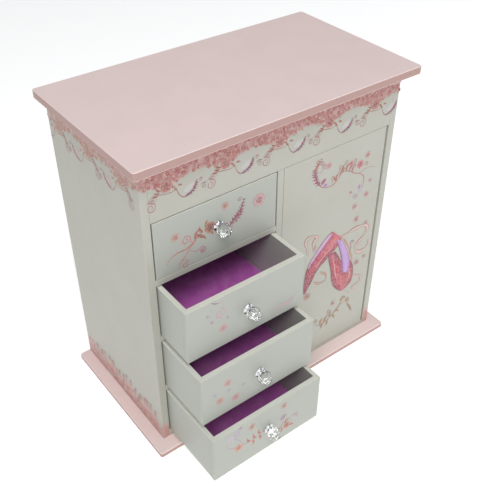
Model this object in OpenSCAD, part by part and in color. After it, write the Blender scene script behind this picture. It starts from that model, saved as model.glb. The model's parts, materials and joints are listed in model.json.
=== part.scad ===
// Ballerina jewellery case: four drawers, a tall door, a lift-up lid and a clockwork music movement
// mm, +Z up, the front faces -Y. The origin is the centre of the base slab's underside.

/* [Case] */
// width across the white case, sides included
case_w = 220; // [200:1:250]
// depth of the white case, front face to back face
case_d = 120; // [112:1:140]
// height of the white case between the two pink slabs
case_h = 245; // [235:1:270]
// thickness of the side, back and front boards
board = 6; // [5:0.5:8]
// height of the printed rail above the top drawer
rail_h = 41; // [38:1:48]
// thickness of the upright board between the drawers and the door
divider_t = 5.5; // [4:0.5:8]
// thickness of the shelves between the drawers
shelf_t = 5; // [4:0.5:6]
// thickness of the board under the lowest drawer
sill_t = 6; // [4:0.5:8]

/* [Pink slabs] */
// thickness of the base slab
base_t = 5; // [4:0.5:8]
// how far the base slab stands out at each side
base_side = 9.5; // [6:0.5:14]
// how far the base slab stands out in front
base_front = 11.5; // [8:0.5:16]
// how far the base slab stands out behind
base_back = 1; // [0.5:0.5:3]
// thickness of the lid
lid_t = 6; // [5:0.5:8]
// how far the lid stands out at each side
lid_side = 8; // [5:0.5:12]
// how far the lid stands out in front
lid_front = 11; // [7:0.5:15]
// corner radius of both slabs
slab_r = 2; // [1:0.5:4]

/* [Drawers] */
// gap at each side of a drawer
drawer_side_gap = 0.9; // [0.4:0.1:1.2]
// gap over a drawer
drawer_top_gap = 0.8; // [0.4:0.1:1.2]
// gap under a drawer
drawer_low_gap = 0.3; // [0.3:0.1:0.5]
// length of a drawer, front to back
drawer_l = 106; // [98:1:108]
// thickness of a drawer's front
drawer_front_t = 4; // [3.5:0.5:6]
// thickness of a drawer's side and back walls
drawer_wall_t = 3.5; // [3:0.5:5]
// thickness of a drawer's bottom
drawer_floor_t = 2.5; // [2:0.5:4]
// how far the second drawer stands open
pull_2 = 32.5; // [0:0.5:60]
// how far the third drawer stands open
pull_3 = 46.5; // [0:0.5:60]
// how far the lowest drawer stands open
pull_4 = 58.5; // [0:0.5:60]

/* [Knobs] */
// diameter of a crystal knob
knob_d = 10.5; // [8:0.5:12]
// how far a knob stands out
knob_l = 11.3; // [10:0.1:16]

/* [Ballerina and movement] */
// length of the figure from the foot of its spring to the finger tips
figure_l = 66; // [62:1:70]
// radius of the skirt
skirt_r = 14; // [12:0.5:14]
// distance of the turning spindle in front of the back board
spindle_back = 23.25; // [22:0.25:26]

/* [Hidden] */
$fn = 48;
front_y = -(case_d + base_front + base_back) / 2 + base_front;
back_y = front_y + case_d;
in_x = case_w / 2 - board;
in_front = front_y + board;
in_back = back_y - board;
case_top = base_t + case_h;
bay_top = case_top - rail_h;
tray_t = 4;
tray_z = bay_top + tray_t;
bay_h = (bay_top - base_t - sill_t - 3 * shelf_t) / 4;
div_x0 = -3;
div_x1 = div_x0 + divider_t;
floor_t = 3;
lid_gap = 0.3;
lid_z = case_top + lid_gap;
pin_y = back_y + 1.9;
pin_z = case_top + lid_gap / 2;
hinge_r = 1.7;
hinge_w = 24;
hinge_x = 66;
door_x0 = div_x1 + 0.4;
door_x1 = in_x - 0.4;
door_z0 = base_t + floor_t + 0.4;
door_z1 = bay_top - 0.4;
door_pin_x = door_x1 - board / 2;
door_pin_y = front_y + board / 2;
knob_x = door_x0 + 6.5;
knob_z = 110;
sx = 53;
sy = in_back - spindle_back;
stage_z = tray_z + 13;
disc_z = stage_z + 0.5;
fold_z = disc_z + 4.5;
ceiling_z = 168;
crown_z = 188;
mesh_r = 8.75;
drum_r = 6;
plate_y = in_back - 1.5;
white = [0.93, 0.92, 0.90];
pink = [0.93, 0.80, 0.79];
violet = [0.42, 0.20, 0.46];
brass = [0.80, 0.62, 0.30];
steel = [0.70, 0.71, 0.73];

// a board between two corners
module bar(x0, x1, y0, y1, z0, z1) translate([x0, y0, z0]) cube([x1 - x0, y1 - y0, z1 - z0]);

// a flat board with rounded upright corners
module slab(x0, x1, y0, y1, z, t, r) translate([x0, y0, z]) linear_extrude(height = t) union() {
    translate([r, 0]) square([x1 - x0 - 2 * r, y1 - y0]);
    translate([0, r]) square([x1 - x0, y1 - y0 - 2 * r]);
    for (cx = [r, x1 - x0 - r], cy = [r, y1 - y0 - r]) translate([cx, cy]) circle(r = r);
}

// a round rod from front to back, starting at y
module rod_y(x, y, z, r, l) translate([x, y, z]) rotate([-90, 0, 0]) cylinder(r = r, h = l);

// a round rod from left to right
module rod_x(x, y, z, r, l) translate([x, y, z]) rotate([0, 90, 0]) cylinder(r = r, h = l);

// ---------- case ----------

module base_slab() color(pink)
    slab(-case_w / 2 - base_side, case_w / 2 + base_side, front_y - base_front, back_y + base_back,
        0, base_t, slab_r);

module side_left() color(white) bar(-case_w / 2, -in_x, front_y, back_y, base_t, case_top);

module side_right() color(white) bar(in_x, case_w / 2, front_y, back_y, base_t, case_top);

module back_panel() color(white) difference() {
    bar(-in_x, in_x, in_back, back_y, base_t, case_top);
    // way through for the winding key
    rod_y(sx, in_back - 1, crown_z, 2.6, board + 2);
    // seats for the hooks
    for (i = [0:4]) rod_y(13.25 + 20 * i, in_back - 1, 152, 0.9, 4);
    // seats for the movement's screws
    for (p = screw_at) rod_y(p[0], in_back - 1, p[1], 1.1, 5);
    // recesses for the hinge leaves
    for (s = [-1, 1]) bar(s * hinge_x - hinge_w / 2, s * hinge_x + hinge_w / 2, back_y - 5, back_y + 1,
        case_top - 0.9, case_top + 1);
}

module top_rail() color(white) difference() {
    bar(-in_x, in_x, front_y, in_front, bay_top, case_top);
    translate([door_pin_x, door_pin_y, bay_top - 1]) cylinder(r = 1.2, h = 3);
}

module centre_divider() color(white) bar(div_x0, div_x1, front_y, in_back, base_t, bay_top);

// three shelves and the sill, each a board of its own
module drawer_shelves() color(white) {
    bar(-in_x, div_x0, front_y, in_back, base_t, base_t + sill_t);
    for (n = [1:3]) bar(-in_x, div_x0, front_y, in_back, bay_low(n) - shelf_t, bay_low(n));
}

module compartment_floor() color(white) difference() {
    bar(div_x1, in_x, front_y, in_back, base_t, base_t + floor_t);
    translate([door_pin_x, door_pin_y, base_t + 1]) cylinder(r = 1.2, h = 3);
}

module tray_floor() color(white) difference() {
    bar(-in_x, in_x, in_front, in_back, bay_top, tray_z);
    translate([sx, sy, bay_top - 1]) cylinder(r = 2.06, h = tray_t + 2);
    translate([30, rod_at, bay_top - 1]) cylinder(r = 1.1, h = tray_t + 2);
}

module tray_partition() color(white) bar(-1.5, 1.5, in_front, in_back, tray_z, tray_z + 19);

module tray_lining() color(violet) {
    bar(-in_x + 0.2, -1.7, in_front + 0.2, in_back - 0.2, tray_z, tray_z + 1);
    bar(1.7, in_x - 0.2, in_front + 0.2, sy - 8.2, tray_z, tray_z + 1);
}

// soft pad with five rolls that grip rings between them
module ring_rolls() color(violet) {
    bar(-98, -8, -6, 58, tray_z + 1, tray_z + 4);
    for (i = [0:4]) rod_x(-98, 0.4 + 12.8 * i, tray_z + 8, 6.5, 90);
}

// raised block the ballerina turns on
module stage() color(white) difference() {
    bar(12, 94, sy - 8, in_back - 0.2, tray_z, stage_z);
    translate([sx, sy, tray_z - 1]) cylinder(r = 2.5, h = 15);
    translate([30, rod_at, tray_z - 1]) cylinder(r = 1.3, h = 15);
}

// ceiling of the necklace compartment, with a front that hides the movement
module movement_cover() color(white) union() {
    bar(div_x1, in_x, in_front + 0.5, in_back, ceiling_z, ceiling_z + 3);
    bar(div_x1, in_x, in_front + 0.5, in_front + 3.5, ceiling_z + 3, bay_top);
}

module compartment_lining() color(violet) difference() {
    union() {
        bar(div_x1 + 0.4, in_x - 0.4, in_back - 0.9, in_back, base_t + floor_t, ceiling_z - 0.5);
        bar(div_x1 + 0.4, in_x - 0.4, in_front + 1, in_back - 0.9, base_t + floor_t, base_t + floor_t + 0.9);
    }
    for (i = [0:4]) rod_y(13.25 + 20 * i, in_back - 2, 152, 0.9, 4);
}

// five screw-in brass hooks for necklaces
module necklace_hooks() color(brass) for (i = [0:4]) translate([13.25 + 20 * i, 0, 152]) union() {
    rod_y(0, in_back - 9, 0, 0.9, 11.5);
    rod_y(0, in_back - 2.1, 0, 2.2, 1.2);
    translate([0, in_back - 13, 0]) rotate([0, 90, 0]) rotate([0, 0, -110]) rotate_extrude(angle = 200)
        translate([4, 0]) circle(r = 0.9);
}

module door_pins() color(steel) {
    translate([door_pin_x, door_pin_y, base_t + 1]) cylinder(r = 1.2, h = 5);
    translate([door_pin_x, door_pin_y, bay_top - 3]) cylinder(r = 1.2, h = 5);
}

module door_magnet() color([0.25, 0.25, 0.27]) bar(div_x1, div_x1 + 6, in_front + 0.3, in_front + 6.3, 90, 102);

// ---------- lid ----------

module lid_slab() color(pink) difference() {
    slab(-case_w / 2 - lid_side, case_w / 2 + lid_side, front_y - lid_front, back_y, lid_z, lid_t, slab_r);
    for (s = [-1, 1]) bar(s * hinge_x - hinge_w / 2, s * hinge_x + hinge_w / 2, back_y - 5, back_y + 1,
        lid_z - 1, lid_z + 0.9);
}

module lid_lining() color(violet) difference() {
    bar(-in_x + 4, in_x - 4, in_front + 5, in_back - 4, lid_z - 1.4, lid_z);
    bar(-70, 70, -34, 42, lid_z - 2, lid_z + 1);
}

module lid_mirror() color([0.82, 0.86, 0.88]) bar(-70, 70, -34, 42, lid_z - 1.8, lid_z);

module lid_hinge_lower() color(brass) for (s = [-1, 1]) translate([s * hinge_x, 0, 0]) {
    difference() {
        union() {
            bar(-hinge_w / 2 + 0.1, hinge_w / 2 - 0.1, back_y - 4.9, back_y, case_top - 0.9, case_top - 0.1);
            for (x = [-hinge_w / 2 + 0.1, 4.8]) {
                bar(x, x + 7.1, back_y - 1, pin_y, case_top - 0.9, case_top - 0.1);
                rod_x(x, pin_y, pin_z, hinge_r, 7.1);
            }
        }
        rod_x(-hinge_w, pin_y, pin_z, 0.8, 2 * hinge_w);
    }
    rod_x(-hinge_w / 2, pin_y, pin_z, 0.8, hinge_w);
}

module lid_hinge_upper() color(brass) for (s = [-1, 1]) translate([s * hinge_x, 0, 0]) difference() {
    union() {
        bar(-hinge_w / 2 + 0.1, hinge_w / 2 - 0.1, back_y - 4.9, back_y, lid_z + 0.1, lid_z + 0.9);
        bar(-4.5, 4.5, back_y - 1, pin_y, lid_z + 0.1, lid_z + 0.9);
        rod_x(-4.5, pin_y, pin_z, hinge_r, 9);
    }
    rod_x(-hinge_w, pin_y, pin_z, 0.86, 2 * hinge_w);
}

// ---------- door ----------

module door_panel() color(white) difference() {
    union() {
        bar(door_x0, door_pin_x, front_y, in_front, door_z0, door_z1);
        translate([door_pin_x, door_pin_y, door_z0]) cylinder(r = board / 2, h = door_z1 - door_z0);
    }
    translate([door_pin_x, door_pin_y, door_z0 - 1]) cylinder(r = 1.26, h = 4.2);
    translate([door_pin_x, door_pin_y, door_z1 - 3.2]) cylinder(r = 1.26, h = 4.2);
    rod_y(knob_x, front_y - 1, knob_z, 1.3, board + 2);
    rod_y(door_x0 + 3.4, in_front - 0.8, 96, 2.6, 2);
}

module door_strike() color(steel) rod_y(door_x0 + 3.4, in_front - 0.8, 96, 2.6, 0.8);

// clear crystal, widest at its middle
module crystal(x, y, z) translate([x, y, z]) rotate([90, 0, 0]) rotate_extrude()
    polygon([[0, 1.6], [2.3, 1.6], [3.5, 2.6], [knob_d / 2 - 0.5, 4.6], [knob_d / 2, 6.2], [knob_d / 2 - 0.3, 7.6],
        [knob_d / 2 - 1.5, knob_l - 1], [knob_d / 2 - 2.4, knob_l], [0, knob_l]]);

// chromed cup and the screw that holds the knob through a board of thickness t
module knob_cup(x, y, z, t) translate([x, y, z]) rotate([90, 0, 0]) {
    rotate_extrude() polygon([[0, 0], [4, 0], [4, 0.5], [3.2, 1], [2.3, 1.6], [0, 1.6]]);
    translate([0, 0, -t]) cylinder(r = 1.3, h = t);
    translate([0, 0, -t - 1.3]) cylinder(r = 2.6, h = 1.3);
}

module door_knob() color([0.85, 0.9, 0.93]) crystal(knob_x, front_y, knob_z);

module door_knob_base() color(steel) knob_cup(knob_x, front_y, knob_z, board);

// ---------- drawers, numbered from the top ----------

function pull(n) = n == 1 ? 0 : n == 2 ? pull_2 : n == 3 ? pull_3 : pull_4;
d_x0 = -in_x + drawer_side_gap;
d_x1 = div_x0 - drawer_side_gap;
d_xm = (d_x0 + d_x1) / 2;
d_h = bay_h - drawer_top_gap - drawer_low_gap;

module drawer_at(n) translate([0, front_y - pull(n), bay_low(n) + drawer_low_gap]) children();
function bay_low(n) = bay_top - n * bay_h - (n - 1) * shelf_t;

module drawer_front(n) color(white) drawer_at(n) difference() {
    bar(d_x0, d_x1, 0, drawer_front_t, 0, d_h);
    rod_y(d_xm, -1, d_h / 2, 1.3, drawer_front_t + 2);
}

// side walls, back wall and bottom
module drawer_box(n) color(white) drawer_at(n) difference() {
    bar(d_x0, d_x1, drawer_front_t, drawer_l, 0, d_h);
    bar(d_x0 + drawer_wall_t, d_x1 - drawer_wall_t, drawer_front_t - 1, drawer_l - drawer_wall_t,
        drawer_floor_t, d_h + 1);
}

module drawer_lining(n) color(violet) drawer_at(n)
    bar(d_x0 + drawer_wall_t + 0.1, d_x1 - drawer_wall_t - 0.1, drawer_front_t + 0.1,
        drawer_l - drawer_wall_t - 0.1, drawer_floor_t, drawer_floor_t + 1);

module drawer_knob(n) color([0.85, 0.9, 0.93]) drawer_at(n) crystal(d_xm, 0, d_h / 2);

module drawer_knob_base(n) color(steel) drawer_at(n) knob_cup(d_xm, 0, d_h / 2, drawer_front_t);

// ---------- music movement ----------

rod_at = 50;
screw_at = [[28, 177], [28, 202], [78, 202]];

// teeth round a wheel in the flat: n teeth, pitch radius pr, tooth height above and below the pitch circle
module toothed(n, pr, up, down) union() {
    circle(r = pr - down);
    for (i = [0:n - 1]) rotate(360 * i / n) translate([pr - down - 0.2, 0]) polygon([
        [0, -pr * 78 / n / 57.3], [0, pr * 78 / n / 57.3], [down + 0.2, pr * 66 / n / 57.3],
        [down + 0.2 + up, pr * 40 / n / 57.3], [down + 0.2 + up, -pr * 40 / n / 57.3],
        [down + 0.2, -pr * 66 / n / 57.3]]);
}

// die-cast plate with its bearing arms and the pillar for the comb
module movement_plate() color(steel) difference() {
    union() {
        bar(24, 82, plate_y, in_back, 172.6, 206);
        bar(49, 57, sy - 4, plate_y, 172.6, 174.4);
        bar(69, 79, sy + 0.4, plate_y, 176, 194);
        bar(34.4, 47, sy - 3, plate_y, 203, 204.5);
        bar(35.2, 41.4, sy - 1.8, plate_y, 190.5, 192);
        bar(35.2, 45.8, sy - 1.5, sy + 1.5, 190.5, 192);
        bar(34.4, 39.6, sy - 2, plate_y, 174.4, 175.9);
    }
    rod_y(sx, plate_y - 1, crown_z, 1.66, 4);
    translate([sx, sy, 172]) cylinder(r = 1.06, h = 3);
    translate([sx - mesh_r, sy, 190]) cylinder(r = 0.86, h = 15);
    translate([sx - mesh_r - 7.2, sy, 174]) cylinder(r = 0.76, h = 31);
    for (p = screw_at) rod_y(p[0], plate_y - 1, p[1], 1.1, 4);
    for (z = [180, 190]) rod_y(74, sy, z, 0.8, 4);
}

// steel comb, its teeth pointing at the drum
module music_comb() color([0.75, 0.76, 0.8]) difference() {
    bar(sx + drum_r + 0.65, 79, sy - 0.4, sy + 0.4, 176.5, 193.5);
    for (i = [1:11]) bar(sx, 68, sy - 1, sy + 1, 176.5 + i * 17 / 12 - 0.2, 176.5 + i * 17 / 12 + 0.2);
    for (z = [180, 190]) rod_y(74, sy - 1, z, 0.8, 2);
}

module movement_screws() color(steel) {
    for (p = screw_at) union() {
        rod_y(p[0], plate_y - 1.2, p[1], 2.2, 1.2);
        rod_y(p[0], plate_y - 0.1, p[1], 1.1, 5.5);
    }
    for (z = [180, 190]) union() {
        rod_y(74, sy - 1.4, z, 1.5, 1);
        rod_y(74, sy - 0.5, z, 0.8, 4);
    }
}

// spring barrel with a crown of thirty teeth on its front face
module spring_barrel() color(brass) translate([sx, 0, crown_z]) rotate([-90, 0, 0]) union() {
    translate([0, 0, sy + 9]) cylinder(r = 10, h = plate_y - 0.4 - sy - 9);
    translate([0, 0, sy + 7.6]) cylinder(r = 9.7, h = 1.5);
    for (i = [0:29]) rotate(12 * i + 6) translate([8.1, -0.31, sy + 6.5]) cube([1.4, 0.62, 1.2]);
}

module winding_key() color(steel) union() {
    rod_y(sx, plate_y - 0.4, crown_z, 1.6, back_y + 3 - plate_y);
    rod_y(sx, back_y + 1.2, crown_z, 3, 6);
    difference() {
        union() {
            bar(sx - 9, sx + 9, back_y + 5, back_y + 17, crown_z - 0.8, crown_z + 0.8);
            for (s = [-1, 1]) translate([sx + s * 7, back_y + 11, crown_z - 0.8]) cylinder(r = 6, h = 1.6);
        }
        for (s = [-1, 1]) translate([sx + s * 7.5, back_y + 11, crown_z - 2]) cylinder(r = 2.6, h = 4);
    }
}

// pinned drum with its driving wheel of twenty-four teeth
module music_drum() color(brass) translate([sx, sy, 0]) union() {
    translate([0, 0, 172.8]) cylinder(r = 1, h = 4);
    translate([0, 0, 176]) cylinder(r = drum_r, h = 18);
    translate([0, 0, 193.9]) cylinder(r = 3, h = 1);
    translate([0, 0, 194.8]) linear_extrude(height = 3.8) rotate(7.5) toothed(24, 7, 0.42, 0.62);
    for (i = [0:23]) rotate(i * 105) translate([drum_r - 0.4, 0, 177.2 + (i * 5 % 12) * 17 / 12])
        rotate([0, 90, 0]) cylinder(r = 0.2, h = 0.7);
}

module spindle() color(steel) translate([sx, sy, 0]) union() {
    translate([0, 0, 198.6]) cylinder(r = 2, h = disc_z - 198.4);
    translate([0, 0, disc_z]) cylinder(r = 5, h = 1.5);
}

module governor_wheel() color(brass) translate([sx - mesh_r, sy, 0]) union() {
    translate([0, 0, 190.6]) cylinder(r = 0.8, h = 13.8);
    translate([0, 0, 194.8]) linear_extrude(height = 3.6) toothed(6, 1.75, 0.4, 0.62);
    translate([0, 0, 199.6]) linear_extrude(height = 1) toothed(30, 6, 0.26, 0.44);
}

module governor_fly() color(steel) translate([sx - mesh_r - 7.2, sy, 0]) union() {
    translate([0, 0, 174.5]) cylinder(r = 0.7, h = 29.9);
    translate([0, 0, 199.3]) linear_extrude(height = 1.6) rotate(30) toothed(6, 1.2, 0.26, 0.42);
    translate([-5, -0.2, 178]) cube([10, 0.4, 11.5]);
}

// wire that the closing lid pushes down to stop the fly
module stop_rod() color(steel) union() {
    translate([30, rod_at, 186]) cylinder(r = 0.8, h = lid_z - 1.9 - 186);
    bar(29.4, 31.4, sy - 1, rod_at + 0.6, 186, 187.5);
}

// ---------- ballerina, lying face down under the closed lid ----------

module on_pivot() translate([sx, sy, fold_z]) rotate([90, 0, 0]) children();

// close-wound spring the figure stands on
module lift_spring() color(steel) on_pivot() rotate_extrude() difference() {
    union() {
        translate([0, -2]) square([2, 11]);
        for (i = [0:11]) translate([2, -1.2 + i * 0.85]) circle(r = 0.5);
    }
    translate([-3, -4]) square([3, 20]);
}

module ballerina() color([0.93, 0.76, 0.66]) on_pivot() union() {
    translate([0, 0, 9.3]) cylinder(r = 2.3, h = 1.2);
    // legs on points, close together
    translate([-1, 0, 10]) cylinder(r1 = 0.9, r2 = 1.5, h = 12);
    translate([-1, 0, 22]) cylinder(r1 = 1.5, r2 = 2, h = 13);
    translate([1.1, 0.4, 10]) cylinder(r1 = 0.9, r2 = 1.5, h = 12);
    translate([1.1, 0.4, 22]) cylinder(r1 = 1.5, r2 = 2, h = 13);
    // bodice and neck
    rotate_extrude() polygon([[0, 33], [3.4, 33], [3.6, 35], [2.3, 39.5], [3.2, 44], [3.3, 46.4], [1.3, 48],
        [1.1, 52], [0, 52]]);
    translate([0, 0, 53.6]) sphere(r = 3.3);
    translate([0, 1.2, 57.2]) sphere(r = 1.7);
    // arms raised in a ring over the head
    translate([0, 0, figure_l - 10]) rotate([90, 0, 0]) rotate_extrude() translate([9.25, 0]) circle(r = 0.75);
}

// layered net skirt
module tutu() color([0.97, 0.86, 0.88]) on_pivot() rotate_extrude()
    polygon([[3.65, 34], [8, 33.2], [skirt_r - 0.3, 31.5], [skirt_r, 32.3], [9, 36.3], [3.62, 36.8]]);

base_slab();
side_left();
side_right();
back_panel();
top_rail();
centre_divider();
drawer_shelves();
compartment_floor();
tray_floor();
tray_partition();
tray_lining();
ring_rolls();
stage();
movement_cover();
compartment_lining();
necklace_hooks();
door_pins();
door_magnet();
lid_hinge_lower();
movement_plate();
music_comb();
movement_screws();
lid_slab();
lid_lining();
lid_mirror();
lid_hinge_upper();
door_panel();
door_strike();
door_knob();
door_knob_base();
spring_barrel();
winding_key();
music_drum();
spindle();
governor_wheel();
governor_fly();
stop_rod();
lift_spring();
ballerina();
tutu();
drawer_front(1);  // drawer_1_front
drawer_box(1);  // drawer_1_box
drawer_lining(1);  // drawer_1_lining
drawer_knob(1);  // drawer_1_knob
drawer_front(2);  // drawer_2_front
drawer_box(2);  // drawer_2_box
drawer_lining(2);  // drawer_2_lining
drawer_knob(2);  // drawer_2_knob
drawer_front(3);  // drawer_3_front
drawer_box(3);  // drawer_3_box
drawer_lining(3);  // drawer_3_lining
drawer_knob(3);  // drawer_3_knob
drawer_front(4);  // drawer_4_front
drawer_box(4);  // drawer_4_box
drawer_lining(4);  // drawer_4_lining
drawer_knob(4);  // drawer_4_knob
drawer_knob_base(1);  // drawer_1_knob_base
drawer_knob_base(2);  // drawer_2_knob_base
drawer_knob_base(3);  // drawer_3_knob_base
drawer_knob_base(4);  // drawer_4_knob_base
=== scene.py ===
# %% [markdown]
# # A ballerina jewellery case
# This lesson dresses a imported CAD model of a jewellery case: two pink slabs, a white case with four drawers
# and a tall door, and a dancer that rises when the lid opens. The CAD gives every size and every moving body.
# Blender adds what a CAD model cannot say: printed paper, velvet, cut crystal, net and a painted doll.

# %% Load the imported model
import json, math, random
import bpy, bmesh
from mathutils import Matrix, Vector, noise


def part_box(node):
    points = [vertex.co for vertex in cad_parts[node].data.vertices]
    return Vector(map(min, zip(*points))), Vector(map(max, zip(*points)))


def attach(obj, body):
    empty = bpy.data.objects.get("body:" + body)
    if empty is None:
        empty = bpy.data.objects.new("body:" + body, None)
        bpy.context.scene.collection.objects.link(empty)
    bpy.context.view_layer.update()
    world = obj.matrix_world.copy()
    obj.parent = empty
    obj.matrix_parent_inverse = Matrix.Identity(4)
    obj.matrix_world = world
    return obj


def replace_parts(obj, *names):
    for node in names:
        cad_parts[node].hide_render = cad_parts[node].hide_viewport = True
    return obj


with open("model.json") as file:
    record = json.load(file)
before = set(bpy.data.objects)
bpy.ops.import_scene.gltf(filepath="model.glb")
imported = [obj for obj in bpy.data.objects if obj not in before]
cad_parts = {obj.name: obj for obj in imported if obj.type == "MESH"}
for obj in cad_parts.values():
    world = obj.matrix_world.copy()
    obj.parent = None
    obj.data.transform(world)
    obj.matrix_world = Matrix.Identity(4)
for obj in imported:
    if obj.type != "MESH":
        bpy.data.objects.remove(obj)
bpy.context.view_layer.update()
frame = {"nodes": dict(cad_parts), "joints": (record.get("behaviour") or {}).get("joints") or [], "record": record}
MM = 0.001
NODES = frame["nodes"]
HOME = {n: b for b, members in frame["record"]["behaviour"]["bodies"].items() for n in members}
JOINT = {j["name"]: j for j in frame["joints"]}
scene = bpy.context.scene

# %% [markdown]
# ## The view
# The case is seen from a little to the left and well above, quite close, so the uprights lean towards
# each other. The lens is 53 mm on a full-frame sensor, and the stage is a plain pale floor. One large lamp
# high on the left gives the shape and most of the light on the lid. A pale surround, as inside a white
# tent, fills the shadows, and two strips give the crystal something to reflect.

# %% Camera
camera = bpy.data.objects.new("camera", bpy.data.cameras.new("camera"))
camera.data.lens, camera.data.sensor_width = 52.99, 36.0
camera.location = (-0.27817, -0.37712, 0.47593)
camera.rotation_euler = (0.9013, -0.0069, -0.6571)
scene.collection.objects.link(camera)
scene.camera = camera
scene.view_settings.view_transform = "Standard"

# %% Light
def lamp(name, place, aim, size, power, tint=(1, 1, 1)):
    data = bpy.data.lights.new(name, "AREA")
    data.shape, data.size, data.size_y = "RECTANGLE", size[0], size[1]
    data.energy, data.color = power, tint
    o = bpy.data.objects.new(name, data)
    o.location = place
    o.rotation_euler = (Vector(aim) - Vector(place)).to_track_quat("-Z", "Y").to_euler()
    scene.collection.objects.link(o)


lamp("key_lamp", (-0.62, -0.82, 1.62), (0, 0, 0.12), (0.8, 0.8), 20.5, (1.0, 0.99, 0.965))
lamp("front_strip", (0.5, -1.5, 0.55), (0, 0, 0.12), (0.25, 1.2), 3.0)
lamp("right_strip", (1.5, 0.1, 0.8), (0, 0, 0.12), (0.3, 1.0), 3.0)
world = bpy.data.worlds.new("white_tent")
world.use_nodes = True
world.node_tree.nodes["Background"].inputs["Color"].default_value = (0.93, 0.96, 1.0, 1)
world.node_tree.nodes["Background"].inputs["Strength"].default_value = 0.3
scene.world = world
print("three lamps and a pale surround")

# %% [markdown]
# ## Small tools for materials
# Each finish is a Principled shader. Effects that several finishes share, such as the faint cloudiness of
# printed paper, are node groups with named sockets, built once. Colours are written as web colours and
# turned into the linear values that Blender mixes with.

# %% Colours and node groups
def tint(web, alpha=1.0):
    """Web colour to linear red, green, blue, alpha."""
    parts = [int(web[i:i + 2], 16) / 255 for i in (0, 2, 4)]
    return tuple(p / 12.92 if p <= 0.04045 else ((p + 0.055) / 1.055) ** 2.4 for p in parts) + (alpha,)


def blended(a, b, share):
    return tuple(x + (y - x) * share for x, y in zip(a, b))


def new_group(name, inputs, outputs):
    g = bpy.data.node_groups.new(name, "ShaderNodeTree")
    for label, kind, value in inputs:
        g.interface.new_socket(name=label, in_out="INPUT", socket_type=kind).default_value = value
    for label, kind in outputs:
        g.interface.new_socket(name=label, in_out="OUTPUT", socket_type=kind)
    return g, g.nodes.new("NodeGroupInput"), g.nodes.new("NodeGroupOutput")


def add(tree, kind, **settings):
    n = tree.nodes.new(kind)
    for key, value in settings.items():
        if key in n.inputs:
            n.inputs[key].default_value = value
        else:
            setattr(n, key, value)
    return n


def math_node(tree, how, a, b=0.5, clamp=False):
    n = tree.nodes.new("ShaderNodeMath")
    n.operation, n.use_clamp = how, clamp
    for socket, v in zip(n.inputs, (a, b)):
        if isinstance(v, (int, float)):
            socket.default_value = v
        else:
            tree.links.new(v, socket)
    return n.outputs[0]


def mix_colour(tree, share, a, b, how="MIX"):
    n = tree.nodes.new("ShaderNodeMix")
    n.data_type, n.blend_type = "RGBA", how
    for socket, v in ((n.inputs[0], share), (n.inputs[6], a), (n.inputs[7], b)):
        if hasattr(v, "links") or hasattr(v, "is_linked"):
            tree.links.new(v, socket)
        else:
            socket.default_value = v
    return n.outputs[2]


COLOR, FLOAT = "NodeSocketColor", "NodeSocketFloat"

# %% Group: the cloudiness of paint or printed paper
CLOUD, gi, go = new_group("cloudy_surface", [
    ("Colour", COLOR, (1, 1, 1, 1)), ("Second Colour", COLOR, (1, 1, 1, 1)), ("Cloud Size", FLOAT, 40.0),
    ("Grain Size", FLOAT, 1400.0)], [("Colour", COLOR), ("Roughness", FLOAT), ("Height", FLOAT)])
where = add(CLOUD, "ShaderNodeTexCoord").outputs["Object"]
cloud = add(CLOUD, "ShaderNodeTexNoise", Detail=4.0, Roughness=0.6)
grain = add(CLOUD, "ShaderNodeTexNoise", Detail=2.0, Roughness=0.5)
for n, socket in ((cloud, "Cloud Size"), (grain, "Grain Size")):
    CLOUD.links.new(where, n.inputs["Vector"])
    CLOUD.links.new(gi.outputs[socket], n.inputs["Scale"])
share = math_node(CLOUD, "MULTIPLY", math_node(CLOUD, "SUBTRACT", cloud.outputs["Fac"], 0.36), 3.2, True)
CLOUD.links.new(mix_colour(CLOUD, share, gi.outputs["Colour"], gi.outputs["Second Colour"]),
                go.inputs["Colour"])
CLOUD.links.new(math_node(CLOUD, "ADD", math_node(CLOUD, "MULTIPLY", grain.outputs["Fac"], 0.16), 0.36),
                go.inputs["Roughness"])
CLOUD.links.new(math_node(CLOUD, "ADD", math_node(CLOUD, "MULTIPLY", cloud.outputs["Fac"], 0.6),
                          math_node(CLOUD, "MULTIPLY", grain.outputs["Fac"], 0.4)), go.inputs["Height"])

# %% Group: which way a face looks, so that the upright faces of a board can take a second colour: the slab edges a shade rosier and darker than the flat, and on the drawers the up-facing rims lighter than the fronts, a painted highlight standing for the light from above
EDGE, gi, go = new_group("upright_faces", [("Softness", FLOAT, 0.35)], [("Mask", FLOAT)])
up = add(EDGE, "ShaderNodeSeparateXYZ")
EDGE.links.new(add(EDGE, "ShaderNodeNewGeometry").outputs["Normal"], up.inputs[0])
flatness = math_node(EDGE, "ABSOLUTE", up.outputs["Z"])
EDGE.links.new(math_node(EDGE, "SUBTRACT", 1.0, math_node(EDGE, "DIVIDE", flatness, gi.outputs["Softness"],
        True), True), go.inputs["Mask"])

# %% Group: velvet pile, with patches where the nap lies another way
PILE, gi, go = new_group("velvet_pile", [
    ("Colour", COLOR, (1, 1, 1, 1)), ("Brushed Colour", COLOR, (1, 1, 1, 1)), ("Patch Size", FLOAT, 55.0)],
    [("Colour", COLOR), ("Roughness", FLOAT), ("Height", FLOAT)])
where = add(PILE, "ShaderNodeTexCoord").outputs["Object"]
nap = add(PILE, "ShaderNodeTexNoise", Detail=5.0, Roughness=0.65, Distortion=0.8)
hair = add(PILE, "ShaderNodeTexNoise", Scale=2600.0, Detail=2.0)
PILE.links.new(where, nap.inputs["Vector"])
PILE.links.new(where, hair.inputs["Vector"])
PILE.links.new(gi.outputs["Patch Size"], nap.inputs["Scale"])
share = math_node(PILE, "MULTIPLY", math_node(PILE, "SUBTRACT", nap.outputs["Fac"], 0.38), 3.0, True)
brushed = mix_colour(PILE, share, gi.outputs["Colour"], gi.outputs["Brushed Colour"])
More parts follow.
